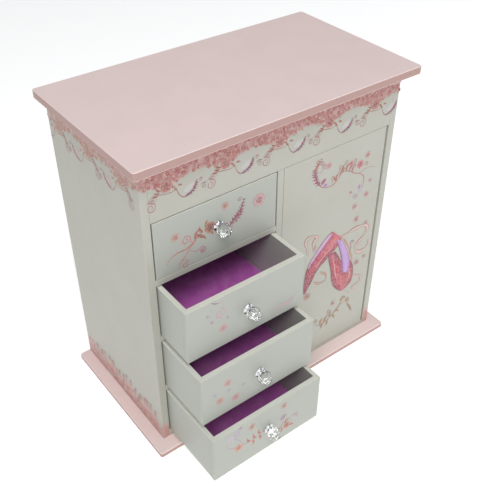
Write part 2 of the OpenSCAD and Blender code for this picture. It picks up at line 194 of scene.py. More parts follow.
speck = mix_colour(PILE, math_node(PILE, "MULTIPLY", hair.outputs["Fac"], 0.5), brushed,
                   (0.02, 0.005, 0.03, 1))
PILE.links.new(speck, go.inputs["Colour"])
PILE.links.new(math_node(PILE, "ADD", math_node(PILE, "MULTIPLY", share, 0.12), 0.82), go.inputs["Roughness"])
PILE.links.new(hair.outputs["Fac"], go.inputs["Height"])

# %% Group: the fine lines of drawn or turned metal
LINES, gi, go = new_group("drawn_metal", [
    ("Colour", COLOR, (1, 1, 1, 1)), ("Dull Colour", COLOR, (1, 1, 1, 1)), ("Smoothest", FLOAT, 0.1)],
    [("Colour", COLOR), ("Roughness", FLOAT), ("Height", FLOAT)])
where = add(LINES, "ShaderNodeTexCoord").outputs["Object"]
stretch = add(LINES, "ShaderNodeMapping")
stretch.inputs["Scale"].default_value = (1, 6, 9)
LINES.links.new(where, stretch.inputs["Vector"])
scratch = add(LINES, "ShaderNodeTexNoise", Scale=500.0, Detail=3.0)
patch = add(LINES, "ShaderNodeTexNoise", Scale=90.0, Detail=3.0)
LINES.links.new(stretch.outputs[0], scratch.inputs["Vector"])
LINES.links.new(where, patch.inputs["Vector"])
dull = math_node(LINES, "MULTIPLY", math_node(LINES, "SUBTRACT", patch.outputs["Fac"], 0.45), 3.0, True)
LINES.links.new(mix_colour(LINES, dull, gi.outputs["Colour"], gi.outputs["Dull Colour"]), go.inputs["Colour"])
LINES.links.new(math_node(LINES, "ADD", gi.outputs["Smoothest"],
                          math_node(LINES, "ADD", math_node(LINES, "MULTIPLY", dull, 0.12),
                                    math_node(LINES, "MULTIPLY", scratch.outputs["Fac"], 0.1))),
                go.inputs["Roughness"])
LINES.links.new(scratch.outputs["Fac"], go.inputs["Height"])
print("shared effects:", [g.name for g in bpy.data.node_groups if g.bl_idname == "ShaderNodeTree"])

# %% Principled materials
def finish_of(name, effect=None, values=(), bump=0.0, depth=0.0002, **fixed):
    """A Principled material, its varying channels fed by one shared effect group."""
    m = bpy.data.materials.new(name)
    m.use_nodes = True
    tree = m.node_tree
    shader = tree.nodes["Principled BSDF"]
    for key, value in fixed.items():
        shader.inputs[key.replace("_", " ")].default_value = value
    if effect is not None:
        g = tree.nodes.new("ShaderNodeGroup")
        g.node_tree = effect
        for key, value in values:
            g.inputs[key].default_value = value
        tree.links.new(g.outputs["Colour"], shader.inputs["Base Color"])
        tree.links.new(g.outputs["Roughness"], shader.inputs["Roughness"])
        if bump:
            b = add(tree, "ShaderNodeBump", Strength=bump, Distance=depth)
            tree.links.new(g.outputs["Height"], b.inputs["Height"])
            tree.links.new(b.outputs[0], shader.inputs["Normal"])
    return m


def board_finish(name, face, face_2, edge, bump=0.25):
    """Painted board: cloudy face colour, and a second colour on the upright faces."""
    m = finish_of(name, CLOUD, [("Colour", face), ("Second Colour", face_2)], bump, 0.00006)
    tree = m.node_tree
    shader = tree.nodes["Principled BSDF"]
    source = shader.inputs["Base Color"].links[0].from_socket
    mask = tree.nodes.new("ShaderNodeGroup")
    mask.node_tree = EDGE
    tree.links.new(mix_colour(tree, mask.outputs["Mask"], source, edge), shader.inputs["Base Color"])
    return m


# The drawer board's up-facing rims are painted lighter than its fronts: painted light, standing for the light from
# above.
MAT = {"white_board": finish_of("white_printed_board", CLOUD,
                                [("Colour", tint("b7b7ae")), ("Second Colour", tint("b5b4a9"))], 0.25,
                                0.00006), "drawer_board": board_finish("white_drawer_board", tint("d2d3cb"),
        tint("ced0c6"), tint("afb2aa"), 0.3),
       "pink_board": board_finish("pink_painted_board", tint("ecd7d5"), tint("e8d4d1"), tint("b2908a")),
       "violet_fabric": finish_of("violet_velvet", PILE,
                                  [("Colour", tint("cb60c6")), ("Brushed Colour", tint("da86d2"))], 0.5,
                                  0.0003, Sheen_Weight=0.6, Sheen_Roughness=0.45,
                                  Sheen_Tint=(0.75, 0.45, 0.8, 1)),
       "chrome": finish_of("plated_chrome", LINES,
                           [("Colour", tint("d9dadd")), ("Dull Colour", tint("b8babf")),
                            ("Smoothest", 0.08)], 0.05, 0.0001, Metallic=1.0),
       "brass": finish_of("lacquered_brass", LINES,
                          [("Colour", tint("dcb565")), ("Dull Colour", tint("b98d42")),
                           ("Smoothest", 0.16)], 0.1, 0.0001, Metallic=1.0),
       "steel": finish_of("zinc_plated_steel", LINES,
                          [("Colour", tint("c2c5c9")), ("Dull Colour", tint("9a9da3")), ("Smoothest", 0.2)],
                          0.12, 0.0001, Metallic=1.0), "magnet": finish_of("ferrite_magnet", CLOUD,
        [("Colour", tint("3c3c3f")), ("Second Colour", tint("2e2e31")), ("Cloud Size", 300.0)], 0.3,
        0.0001), "mirror": finish_of("silvered_glass", LINES,
                                     [("Colour", tint("e6eaea")), ("Dull Colour", tint("e0e5e4")),
                                      ("Smoothest", 0.0)], Metallic=1.0, Coat_Weight=1.0,
                                     Coat_Roughness=0.01), "crystal": finish_of("cut_crystal",
        Base_Color=(0.97, 0.98, 0.985, 1), Roughness=0.03, IOR=1.54, Transmission_Weight=0.95),}
silver = MAT["mirror"].node_tree
for wire in [w for w in silver.links if w.to_socket.name == "Roughness"]:
    silver.links.remove(wire)
silver.nodes["Principled BSDF"].inputs["Roughness"].default_value = 0.01
for node, o in NODES.items():
    kind = next(s["material_slot"] for s in frame["record"]["subparts"] if s["node"] == node)
    if node.startswith("drawer_") and node.endswith("_box"):
        kind = "drawer_board"
    if kind in MAT:
        o.data.materials.clear()
        o.data.materials.append(MAT[kind])
print(len(MAT), "finishes on", len(NODES), "CAD nodes")

# %% [markdown]
# ## Tools for shapes
# Three helpers serve the whole lesson. A smooth line runs through a few points that a maker would mark.
# A Geometry Nodes tree gets named inputs, and is run once: its result is kept as a plain mesh and the
# modifier is thrown away, so that the piece can ride on a body like any other.

# %% Smooth lines and Geometry Nodes
def smooth_path(points, step=0.8):
    """Catmull-Rom curve through points in millimetres, sampled about every step."""
    p = [Vector(q) for q in points]
    p = [p[0] * 2 - p[1]] + p + [p[-1] * 2 - p[-2]]
    out = []
    for a, b, c, d in zip(p, p[1:], p[2:], p[3:]):
        n = max(2, math.ceil((c - b).length / step))
        for i in range(n):
            t = i / n
            out.append(0.5 * (2 * b + (c - a) * t + (2 * a - 5 * b + 4 * c - d) * t * t
                              + (3 * b - a - 3 * c + d) * t ** 3))
    return out + [p[-2]]


def node_input(tree, label, kind, value=None):
    s = tree.interface.new_socket(name=label, in_out="INPUT", socket_type=kind)
    if value is not None:
        s.default_value = value
    return s.identifier


def made_by(tree, ids, name, values):
    """Runs a Geometry Nodes tree once and returns its result as a plain mesh object."""
    host = bpy.data.objects.new(name + "_host", bpy.data.meshes.new(name + "_host"))
    scene.collection.objects.link(host)
    m = host.modifiers.new("nodes", "NODES")
    m.node_group = tree
    for key, value in values.items():
        m[ids[key]] = value
    graph = bpy.context.evaluated_depsgraph_get()
    mesh = bpy.data.meshes.new_from_object(host.evaluated_get(graph), preserve_all_data_layers=True,
                                           depsgraph=graph)
    host.modifiers.remove(m)
    bpy.data.objects.remove(host)
    mesh.name = name
    o = bpy.data.objects.new(name, mesh)
    scene.collection.objects.link(o)
    return o


# %% [markdown]
# ## Boards with softened edges
# Sawn and papered board never has a knife edge: sanding and the wrapped paper leave a radius of a third of
# a millimetre, and that is what catches the light along every rim. Each visible board is copied from its
# CAD node, its doubles are merged, and a Bevel modifier rounds the edges. The copy stands for the node.

# %% Soften the boards
def plain_copy(o, name):
    """A finished, modifier-free mesh object made from whatever o evaluates to."""
    graph = bpy.context.evaluated_depsgraph_get()
    mesh = bpy.data.meshes.new_from_object(o.evaluated_get(graph), preserve_all_data_layers=True,
                                           depsgraph=graph)
    mesh.name = name
    made = bpy.data.objects.new(name, mesh)
    scene.collection.objects.link(made)
    bpy.data.objects.remove(o)
    made.name = name
    return made


def softened(node, width, finish, nudge=None):
    mesh = NODES[node].data.copy()
    b = bmesh.new()
    b.from_mesh(mesh)
    bmesh.ops.remove_doubles(b, verts=b.verts, dist=1e-6)
    bmesh.ops.dissolve_limit(b, angle_limit=math.radians(0.5), verts=b.verts, edges=b.edges)
    bmesh.ops.recalc_face_normals(b, faces=b.faces)
    if nudge:
        for v in b.verts:
            v.co = nudge(v.co)
    for f in b.faces:
        f.smooth = False
    b.to_mesh(mesh)
    b.free()
    o = bpy.data.objects.new(node + "_cut", mesh)
    scene.collection.objects.link(o)
    m = o.modifiers.new("edge", "BEVEL")
    m.width, m.segments, m.limit_method, m.angle_limit = width, 2, "ANGLE", math.radians(40)
    made = plain_copy(o, node + "_board")
    made.data.materials.clear()
    made.data.materials.append(finish)
    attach(made, HOME[node])
    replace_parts(made, node)
    return made


d0, d1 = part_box("door_panel")


def snug(co):
    """The papered door reaches a little past its CAD edges at the top, bottom and free edge."""
    x = co.x - 0.00025 if co.x < d0.x + 1e-5 else co.x
    z = co.z + 0.00025 if co.z > d1.z - 1e-5 else co.z - 0.00015 if co.z < d0.z + 1e-5 else co.z
    return Vector((x, co.y, z))


for node in ("base_slab", "lid_slab"):
    softened(node, 0.0007, MAT["pink_board"])
for node in ("side_left", "side_right", "top_rail", "centre_divider", "drawer_shelves", "stage",
             "tray_partition", "back_panel"):
    softened(node, 0.00035, MAT["white_board"])
softened("door_panel", 0.0003, MAT["white_board"], snug)
for n in (1, 2, 3, 4):
    softened(f"drawer_{n}_front", 0.0004, MAT["drawer_board"])
    softened(f"drawer_{n}_box", 0.0004, MAT["drawer_board"])

# %% [markdown]
# ## Cut-crystal knobs
# Each knob is a small turned and faceted crystal. Its facets follow a rule: rings of points, each ring
# turned half a step against its neighbour, wrapped in their convex hull. That makes the long kite and
# triangle facets of a brilliant cut with no modelling by hand, so a Geometry Nodes tree makes all five.

# %% The tree that cuts a crystal
def crystal_tree():
    t = bpy.data.node_groups.new("cut_crystal_knob", "GeometryNodeTree")
    ids = {k: node_input(t, k, kind, v) for k, kind,
           v in (("Radius", "NodeSocketFloat", 0.005), ("Length", "NodeSocketFloat", 0.0097),
                 ("Facets", "NodeSocketInt", 10), ("Turn", "NodeSocketFloat", 0.0),
                 ("Place", "NodeSocketVector", (0, 0, 0)), ("Finish", "NodeSocketMaterial", None))}
    t.interface.new_socket(name="Geometry", in_out="OUTPUT", socket_type="NodeSocketGeometry")
    gi, go = t.nodes.new("NodeGroupInput"), t.nodes.new("NodeGroupOutput")
    link, join = t.links.new, t.nodes.new("GeometryNodeJoinGeometry")
    calc = lambda how, a, b: math_node(t, how, a, b)
    half = calc("DIVIDE", math.pi, gi.outputs["Facets"])
    for along, across, turned in ((0.0, 0.43, 0), (0.29, 0.87, 1), (0.48, 1.0, 0), (0.63, 0.93, 1),
                                  (0.88, 0.70, 0), (1.0, 0.50, 1)):
        ring, move = t.nodes.new("GeometryNodeMeshCircle"), t.nodes.new("GeometryNodeTransform")
        link(gi.outputs["Facets"], ring.inputs["Vertices"])
        link(calc("MULTIPLY", gi.outputs["Radius"], across), ring.inputs["Radius"])
        up, spin = t.nodes.new("ShaderNodeCombineXYZ"), t.nodes.new("ShaderNodeCombineXYZ")
        link(calc("MULTIPLY", gi.outputs["Length"], along), up.inputs[2])
        link(calc("ADD", calc("MULTIPLY", half, turned), gi.outputs["Turn"]), spin.inputs[2])
        link(up.outputs[0], move.inputs["Translation"])
        link(spin.outputs[0], move.inputs["Rotation"])
        link(ring.outputs[0], move.inputs["Geometry"])
        link(move.outputs[0], join.inputs[0])
    hull, lay, real, paint = (t.nodes.new(k) for k in ("GeometryNodeConvexHull", "GeometryNodeTransform",
            "GeometryNodeRealizeInstances", "GeometryNodeSetMaterial"))
    lay.inputs["Rotation"].default_value = (math.radians(90), 0, 0)
    link(join.outputs[0], hull.inputs[0])
    link(hull.outputs[0], lay.inputs["Geometry"])
    link(gi.outputs["Place"], lay.inputs["Translation"])
    link(lay.outputs[0], real.inputs[0])
    link(real.outputs[0], paint.inputs["Geometry"])
    link(gi.outputs["Finish"], paint.inputs["Material"])
    link(paint.outputs[0], go.inputs["Geometry"])
    return t, ids


CRYSTAL, CRYSTAL_IN = crystal_tree()
for i, node in enumerate(["door_knob"] + [f"drawer_{n}_knob" for n in (1, 2, 3, 4)]):
    lo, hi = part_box(node)
    knob = made_by(CRYSTAL, CRYSTAL_IN, node + "_crystal", {
        "Radius": (hi.x - lo.x) / 2, "Length": hi.y - lo.y, "Turn": 0.31 * i,
        "Place": Vector(((lo.x + hi.x) / 2, hi.y, (lo.z + hi.z) / 2)), "Finish": MAT["crystal"]})
    for f in knob.data.polygons:
        f.use_smooth = False
    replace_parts(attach(knob, HOME[node]), node)
    print(knob.name, len(knob.data.polygons), "facets")

# %% [markdown]
# ## Velvet linings
# Every drawer, the tray and the necklace compartment are lined with violet velvet. Each lining is a cut
# sheet laid on a board: not quite flat, a little puffed between its glued patches, its cut edge turned
# down. It is a fine grid with a gentle swell, thickened with Solidify.

# %% Lay the sheets
def velvet(name, place, u0, u1, v0, v1, body, rests_on, stands_for=(), hole=None, thick=0.7, seed=0.0):
    cell = 2.0
    nu, nv = max(4, round((u1 - u0) / cell)), max(4, round((v1 - v0) / cell))
    points, faces = [], []
    for i in range(nu + 1):
        for j in range(nv + 1):
            u, v = u0 + (u1 - u0) * i / nu, v0 + (v1 - v0) * j / nv
            edge = min(u - u0, u1 - u, v - v0, v1 - v)
            swell = 0.16 * noise.noise(Vector((u * 0.06, v * 0.06, seed))) + 0.05 * noise.noise(
                Vector((u * 0.3, v * 0.3, seed)))
            points.append(Vector(place(u, v, 0.95 + swell * min(1, edge / 6) - 0.22
                                       * max(0, 1 - edge / 1.5))))
    for i in range(nu):
        for j in range(nv):
            u, v = u0 + (u1 - u0) * (i + 0.5) / nu, v0 + (v1 - v0) * (j + 0.5) / nv
            if hole and hole[0] < u < hole[1] and hole[2] < v < hole[3]:
                continue
            k = i * (nv + 1) + j
            faces.append((k, k + nv + 1, k + nv + 2, k + 1))
    mesh = bpy.data.meshes.new(name)
    mesh.from_pydata(points, [], faces)
    b = bmesh.new()
    b.from_mesh(mesh)
    bmesh.ops.delete(b, geom=[v for v in b.verts if not v.link_faces], context="VERTS")
    b.to_mesh(mesh)
    b.free()
    for f in mesh.polygons:
        f.use_smooth = True
    mesh.materials.append(MAT["violet_fabric"])
    o = bpy.data.objects.new(name, mesh)
    scene.collection.objects.link(o)
    m = o.modifiers.new("cloth thickness", "SOLIDIFY")
    m.thickness, m.offset = thick * MM, -1
    o = plain_copy(o, name)
    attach(o, body)
    if stands_for:
        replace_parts(o, *stands_for)
    return o


def floor_at(z):
    return lambda u, v, h: (u * MM, v * MM, z + h * MM)


def span(node, inset=0.15):
    lo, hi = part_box(node)
    return lo.x / MM + inset, hi.x / MM - inset, lo.y / MM + inset, hi.y / MM - inset


for n in (1, 2, 3, 4):
    node = f"drawer_{n}_lining"
    velvet(f"drawer_{n}_velvet", floor_at(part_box(node)[0].z), *span(node), f"drawer_{n}",
           (f"drawer_{n}_box", True), (node,), seed=n)
t0, t1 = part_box("tray_lining")
split, stage_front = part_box("tray_partition"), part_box("stage")[0].y
velvet("tray_velvet_left", floor_at(t0.z), t0.x / MM + 0.1, split[0].x / MM - 0.3, t0.y / MM + 0.1,
       t1.y / MM - 0.1, "case", ("tray_floor", True), ("tray_lining",), seed=11)
velvet("tray_velvet_right", floor_at(t0.z), split[1].x / MM + 0.3, t1.x / MM - 0.1, t0.y / MM + 0.1,
       stage_front / MM - 0.3, "case", ("tray_floor", True), seed=12)
c0, c1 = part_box("compartment_lining")
velvet("compartment_velvet_floor", floor_at(c0.z), c0.x / MM + 0.1, c1.x / MM - 0.1, c0.y / MM + 0.1,
       c1.y / MM - 1.2, "case", ("compartment_floor", True), ("compartment_lining",), seed=13)
velvet("compartment_velvet_back", lambda u, v, h: (u * MM, c1.y - h * MM, v * MM), c0.x / MM + 0.1,
       c1.x / MM - 0.1, c0.z / MM + 1.2, c1.z / MM - 0.1, "case", ("back_panel", False), seed=14)
l0, l1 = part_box("lid_lining")
m0, m1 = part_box("lid_mirror")
velvet("lid_velvet", lambda u, v, h: (u * MM, -v * MM, l1.z - h * MM), l0.x / MM, l1.x / MM, -l1.y / MM,
       -l0.y / MM, "lid", ("lid_slab", False), ("lid_lining",),
       hole=(m0.x / MM - 0.2, m1.x / MM + 0.2, -m1.y / MM - 0.2, -m0.y / MM + 0.2), seed=15)

# %% [markdown]
# ## The ring pad
# Rings are pushed into the grooves between five soft rolls. The pad is a stuffed thing, so it is made as
# one: the CAD shape is remeshed into small even cells, drawn in a little, and inflated with the Cloth
# simulation, with its flat bottom pinned to the tray. The swelling is capped so that it clears the walls.

# %% Inflate the rolls
def stuffed(name, node, voxel, shrink, cap, pressure):
    o = bpy.data.objects.new(name + "_start", NODES[node].data.copy())
    scene.collection.objects.link(o)
    m = o.modifiers.new("cells", "REMESH")
    m.mode, m.voxel_size = "VOXEL", voxel
    m = o.modifiers.new("even", "SMOOTH")
    m.factor, m.iterations = 0.5, 4
    o = plain_copy(o, name)
    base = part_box(node)[0].z
    for v in o.data.vertices:
        v.co -= v.normal * shrink
        v.co.z = max(v.co.z, base + 0.0001)
    start = [v.co.copy() for v in o.data.vertices]
    held = o.vertex_groups.new(name="held")
    held.add([v.index for v in o.data.vertices if v.co.z < base + 0.0015], 1.0, "REPLACE")
    cloth = o.modifiers.new("cloth", "CLOTH")
    s = cloth.settings
    s.quality, s.mass, s.use_pressure, s.uniform_pressure_force = 6, 0.15, True, pressure
    s.tension_stiffness = s.compression_stiffness = 12
    s.bending_stiffness, s.vertex_group_mass = 0.3, "held"
    s.effector_weights.gravity = 0
    cloth.point_cache.frame_start, cloth.point_cache.frame_end = 1, 20
    for f in range(1, 21):
        scene.frame_set(f)
        bpy.context.view_layer.update()
    graph = bpy.context.evaluated_depsgraph_get()
    done = [v.co.copy() for v in o.evaluated_get(graph).data.vertices]
    o.modifiers.remove(cloth)
    scene.frame_set(1)
    for v, a, b in zip(o.data.vertices, start, done):
        move = b - a
        v.co = a + move * min(1, cap / max(move.length, 1e-9))
        v.co.z = max(v.co.z, base + 0.0001)
    m = o.modifiers.new("fine", "SUBSURF")
    m.levels = m.render_levels = 1
    o = plain_copy(o, name)
    for f in o.data.polygons:
        f.use_smooth = True
    o.data.materials.clear()
    o.data.materials.append(MAT["violet_fabric"])
    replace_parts(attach(o, HOME[node]), node)
    print(f"{name}: {len(o.data.polygons)} faces")
    return o


stuffed("ring_pad", "ring_rolls", 0.0016, 0.0005, 0.0009, 3.0)

# %% [markdown]
# ## The spring under the dancer
# The figure stands on a close-wound coil, which lets it lie down under the lid. A coil is a curve that
# follows a rule, so it is a Spiral and a round profile in Geometry Nodes, swept into a wire.

# %% Wind the spring
def coil_tree():
    t = bpy.data.node_groups.new("wound_spring", "GeometryNodeTree")
    ids = {k: node_input(t, k, kind, v) for k, kind,
           v in (("Turns", "NodeSocketFloat", 12.0), ("Radius", "NodeSocketFloat", 0.0019),
                 ("Height", "NodeSocketFloat", 0.0105), ("Wire", "NodeSocketFloat", 0.0004),
                 ("Rotation", "NodeSocketVector", (0, 0, 0)), ("Place", "NodeSocketVector", (0, 0, 0)),
                 ("Finish", "NodeSocketMaterial", None))}
    t.interface.new_socket(name="Geometry", in_out="OUTPUT", socket_type="NodeSocketGeometry")
    gi, go = t.nodes.new("NodeGroupInput"), t.nodes.new("NodeGroupOutput")
    coil, round_, sweep, lay, real, paint = (t.nodes.new(k) for k in ("GeometryNodeCurveSpiral",
            "GeometryNodeCurvePrimitiveCircle", "GeometryNodeCurveToMesh", "GeometryNodeTransform",
            "GeometryNodeRealizeInstances", "GeometryNodeSetMaterial"))
    coil.inputs["Resolution"].default_value, round_.inputs["Resolution"].default_value = 26, 8
    link = t.links.new
    link(gi.outputs["Turns"], coil.inputs["Rotations"])
    link(gi.outputs["Height"], coil.inputs["Height"])
    link(gi.outputs["Radius"], coil.inputs["Start Radius"])
    link(gi.outputs["Radius"], coil.inputs["End Radius"])
    link(gi.outputs["Wire"], round_.inputs["Radius"])
    link(coil.outputs[0], sweep.inputs["Curve"])
    link(round_.outputs[0], sweep.inputs["Profile Curve"])
    sweep.inputs["Fill Caps"].default_value = True
    link(sweep.outputs[0], lay.inputs["Geometry"])
    link(gi.outputs["Rotation"], lay.inputs["Rotation"])
    link(gi.outputs["Place"], lay.inputs["Translation"])
    link(lay.outputs[0], real.inputs[0])
    link(real.outputs[0], paint.inputs["Geometry"])
    link(gi.outputs["Finish"], paint.inputs["Material"])
    link(paint.outputs[0], go.inputs["Geometry"])
    return t, ids


PIVOT = Vector(JOINT["dancer_rise"]["pos_m"])
COIL, COIL_IN = coil_tree()
spring = made_by(COIL, COIL_IN, "coil_spring",
                 {"Rotation": Vector((math.radians(90), 0, 0)), "Place": PIVOT + Vector((0, 0.0013, 0)),
                  "Finish": MAT["steel"]})
for f in spring.data.polygons:
    f.use_smooth = True
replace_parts(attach(spring, "spring_foot"), "lift_spring")

# %% [markdown]
# ## The dancer
# A moulded plastic doll 56 mm tall, arms in a ring over the head, on the points of both feet. She is
# built lying down, as she lies under the closed lid. Legs, bodice, neck, head and arms are tubes along
# smooth lines with a radius at every point. A Remesh modifier fuses them into one skin, as in a mould,
# and the paint (skin, bodice, shoes, lips) is then put on its points by place.

# %% Tubes along a line
def tube(b, line, radii, squash=1.0, sides=20, step=0.5):
    """A closed tube in the doll's own millimetres, its ends rounded off."""
    points = smooth_path([Vector(p) for p in line], step)
    n = len(points) - 1
    key = [0.0]
    for p, q in zip(line, line[1:]):
        key.append(key[-1] + (Vector(q) - Vector(p)).length)
    run, at = 0.0, []
    for i, p in enumerate(points):
        run += (p - points[i - 1]).length if i else 0
        at.append(run)
    rings = []
    for i, p in enumerate(points):
        s = at[i] / at[-1] * key[-1]
        k = max(j for j in range(len(key) - 1) if key[j] <= s + 1e-9)
        t = min(1, (s - key[k]) / (key[k + 1] - key[k]))
        t = t * t * (3 - 2 * t)
        r = radii[k] + (radii[k + 1] - radii[k]) * t
        end = min(at[i], at[-1] - at[i])
        r *= math.sqrt(max(0.0, 1 - (1 - min(1, end / max(r, 0.01))) ** 2)) if end < r else 1
        along = (points[min(i + 1, n)] - points[max(i - 1, 0)]).normalized()
        ax = along.cross(Vector((0, 1, 0)))
        ax = ax.normalized() if ax.length > 0.05 else Vector((1, 0, 0))
        ay = ax.cross(along).normalized()
        if 0 < i < n:
            rings.append([b.verts.new(p + ax * r * math.cos(a) + ay * r * squash * math.sin(a))
                          for a in (2 * math.pi * j / sides for j in range(sides))])
    for r, q in zip(rings, rings[1:]):
        for j in range(sides):
            b.faces.new((r[j], r[(j + 1) % sides], q[(j + 1) % sides], q[j]))
    for ring, p in ((rings[0], points[0]), (rings[-1], points[n])):
        tip = b.verts.new(p)
        for j in range(sides):
            b.faces.new((tip, ring[j], ring[(j + 1) % sides]))


def laid_down(p):
    """From the standing doll's millimetres to her place on the folded spring."""
    return PIVOT + Vector((p[0], -p[2], p[1])) * MM


b = bmesh.new()
for s in (-1, 1):
    tube(b, [(0.75 * s, 0, 9.9), (0.95 * s, 0.0, 13.0), (1.05 * s, 0.35, 19.5), (1.2 * s, 0.05, 24.5),
             (1.75 * s, 0, 33.5)], [0.5, 0.72, 1.25, 1.05, 1.95])
    tube(b, [(2.2 * s, 0, 46.2), (5.2 * s, -0.3, 48.4), (8.3 * s, -0.5, 52.6), (9.0 * s, -0.6, 57.0),
             (7.3 * s, -0.6, 61.4), (3.9 * s, -0.5, 64.3), (1.0 * s, -0.4, 65.3)],
         [1.05, 0.85, 0.72, 0.66, 0.58, 0.42, 0.30])
tube(b, [(0, 0, 31.6), (0, 0, 34.5), (0, 0.1, 38.0), (0, 0.15, 40.2), (0, 0, 43.6), (0, 0, 46.2),
         (0, 0.1, 48.2), (0, 0.1, 52.0)], [2.6, 3.5, 2.5, 2.15, 2.95, 3.0, 1.25, 1.05], 0.78)
for s in (-1, 1):
    tube(b, [(1.2 * s, -1.2, 43.0), (1.25 * s, -1.75, 44.3), (1.2 * s, -1.2, 45.6)], [0.9, 1.15, 0.9])
tube(b, [(0, 0.0, 50.3), (0, -0.15, 51.6), (0, 0.0, 53.6), (0, 0.15, 55.6), (0, 0.2, 57.0)],
     [1.5, 2.35, 2.95, 2.7, 1.5], 1.06, 28, 0.3)
tube(b, [(0, -2.6, 54.5), (0, -3.25, 53.3), (0, -2.8, 52.9)], [0.28, 0.36, 0.3], 1.0, 12, 0.2)
for s in (-1, 1):
    tube(b, [(2.75 * s, 0.2, 54.2), (3.1 * s, 0.4, 53.6), (2.75 * s, 0.1, 52.8)], [0.35, 0.45, 0.3], 1.0,
         10, 0.25)
bmesh.ops.recalc_face_normals(b, faces=b.faces)
for v in b.verts:
    v.co = laid_down(v.co)
mesh = bpy.data.meshes.new("doll_start")
b.to_mesh(mesh)
b.free()
doll = bpy.data.objects.new("doll_start", mesh)
scene.collection.objects.link(doll)
m = doll.modifiers.new("one skin", "REMESH")
m.mode, m.voxel_size = "VOXEL", 0.00028
m = doll.modifiers.new("soften", "SMOOTH")
m.factor, m.iterations = 0.5, 3
doll = plain_copy(doll, "dancer_figure")
print("dancer:", len(doll.data.polygons), "faces")

# %% Paint the doll
SKIN, HAIR, BODICE, SHOES, LIPS = tint("e6bfa6"), tint("4a2f22"), tint("c9607c"), tint("d98a9c"), tint(
    "b5485a")


def doll_paint(x, y, z):
    if z < 14.6:
        wrap = abs(math.sin(z * 2.1 + x)) > 0.93 and z > 12.2
        return SHOES if z < 12.4 or wrap else SKIN
    if 31 < z < 45.6 - 0.5 * math.cos(x * 1.1) and abs(x) < 3.9:
        lace = math.sin(x * 3.2) * math.sin(z * 2.6) > 0.55
        return blended(BODICE, tint("f0c4cf"), 0.6) if lace or z > 45.0 else BODICE
    if 45 < z < 48.0 and 1.5 < abs(x) < 2.1:
        return BODICE
    if z > 50 and abs(x) < 3.3:
        if y < -1.9 and (x / 0.62) ** 2 + ((z - 51.95) / 0.24) ** 2 < 1:
            return LIPS
        if y < -1 and (abs(x) - 1.75) ** 2 + (z - 52.7) ** 2 < 0.5:
            return blended(SKIN, BODICE, 0.3)
    return SKIN


ink = doll.data.color_attributes.new("paint", "FLOAT_COLOR", "POINT")
for v, c in zip(doll.data.vertices, ink.data):
    p = (v.co - PIVOT) / MM
    c.color = doll_paint(p.x, p.z, -p.y)
for f in doll.data.polygons:
    f.use_smooth = True
DOLL = finish_of("painted_doll_plastic", Roughness=0.32, Coat_Weight=0.3, Coat_Roughness=0.2)
tree = DOLL.node_tree
own = add(tree, "ShaderNodeAttribute", attribute_name="paint")
soft = add(tree, "ShaderNodeTexNoise", Scale=420.0, Detail=3.0)
tree.links.new(add(tree, "ShaderNodeTexCoord").outputs["Object"], soft.inputs["Vector"])
tree.links.new(mix_colour(tree, math_node(tree, "MULTIPLY", soft.outputs["Fac"], 0.12),
                          own.outputs["Color"], (0.9, 0.55, 0.45, 1)),
               tree.nodes["Principled BSDF"].inputs["Base Color"])
doll.data.materials.clear()
doll.data.materials.append(DOLL)
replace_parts(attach(doll, "dancer"), "ballerina")

# %% Hair, bun and eyes
def beads(name, shapes, finish, body):
    """Small rounded blobs, each (centre, radii, ridges): an egg whose surface may be combed into ridges."""
    b = bmesh.new()
    for centre, radii, ridges in shapes:
        rows, cols = 18, 36
        grid = [[b.verts.new(laid_down(Vector(centre)
                                       + Vector([radii[0] * math.sin(t) * math.cos(a),
                                                 radii[1] * math.sin(t) * math.sin(a),
                                                 radii[2] * math.cos(t)]) * (1 + 0.025
                * math.sin(ridges * a + 3 * t) if ridges else 1)))
                 for a in (2 * math.pi * j / cols for j in range(cols))]
                for t in (math.pi * (i + 0.5) / rows for i in range(rows))]
        for r, q in zip(grid, grid[1:]):
            for j in range(cols):
                b.faces.new((r[j], q[j], q[(j + 1) % cols], r[(j + 1) % cols]))
        for ring, up in ((grid[0], 1), (grid[-1], -1)):
            tip = b.verts.new(laid_down(Vector(centre) + Vector((0, 0, up * radii[2]))))
            for j in range(cols):
                b.faces.new((tip, ring[j], ring[(j + 1) % cols]))
    bmesh.ops.recalc_face_normals(b, faces=b.faces)
    for f in b.faces:
        f.smooth = True
    mesh = bpy.data.meshes.new(name)
    b.to_mesh(mesh)
    b.free()
    mesh.materials.append(finish)
    o = bpy.data.objects.new(name, mesh)
    scene.collection.objects.link(o)
    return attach(o, body)


HAIR_PAINT = finish_of("painted_hair", CLOUD,
                       [("Colour", HAIR), ("Second Colour", tint("6b4630")), ("Cloud Size", 900.0)], 0.3,
                       0.0001)
EYE_PAINT = finish_of("painted_eyes", Base_Color=tint("2b2530"), Roughness=0.2, Coat_Weight=0.5)
beads("dancer_hair", [((0, 0.75, 54.35), (3.2, 2.95, 3.0), 24), ((0, 1.3, 57.3), (1.75, 1.7, 1.25), 14)],
      HAIR_PAINT, "dancer")
beads("dancer_eyes", [((s * 1.12, -2.66, 53.75), (0.33, 0.22, 0.2), 0) for s in (-1, 1)]
      + [((s * 1.15, -2.62, 54.45), (0.5, 0.12, 0.07), 0) for s in (-1, 1)], EYE_PAINT, "dancer")

# %% [markdown]
# ## The net skirt
# A tutu is several rounds of stiff net, each with a rim a little longer than a flat circle needs, so that it
# waves up and down. Each round here is one sheet, its waves growing from nothing at the waist. Its flat cut
# is a curved strip: one edge as long as the waist, the other as long as the wavy rim.

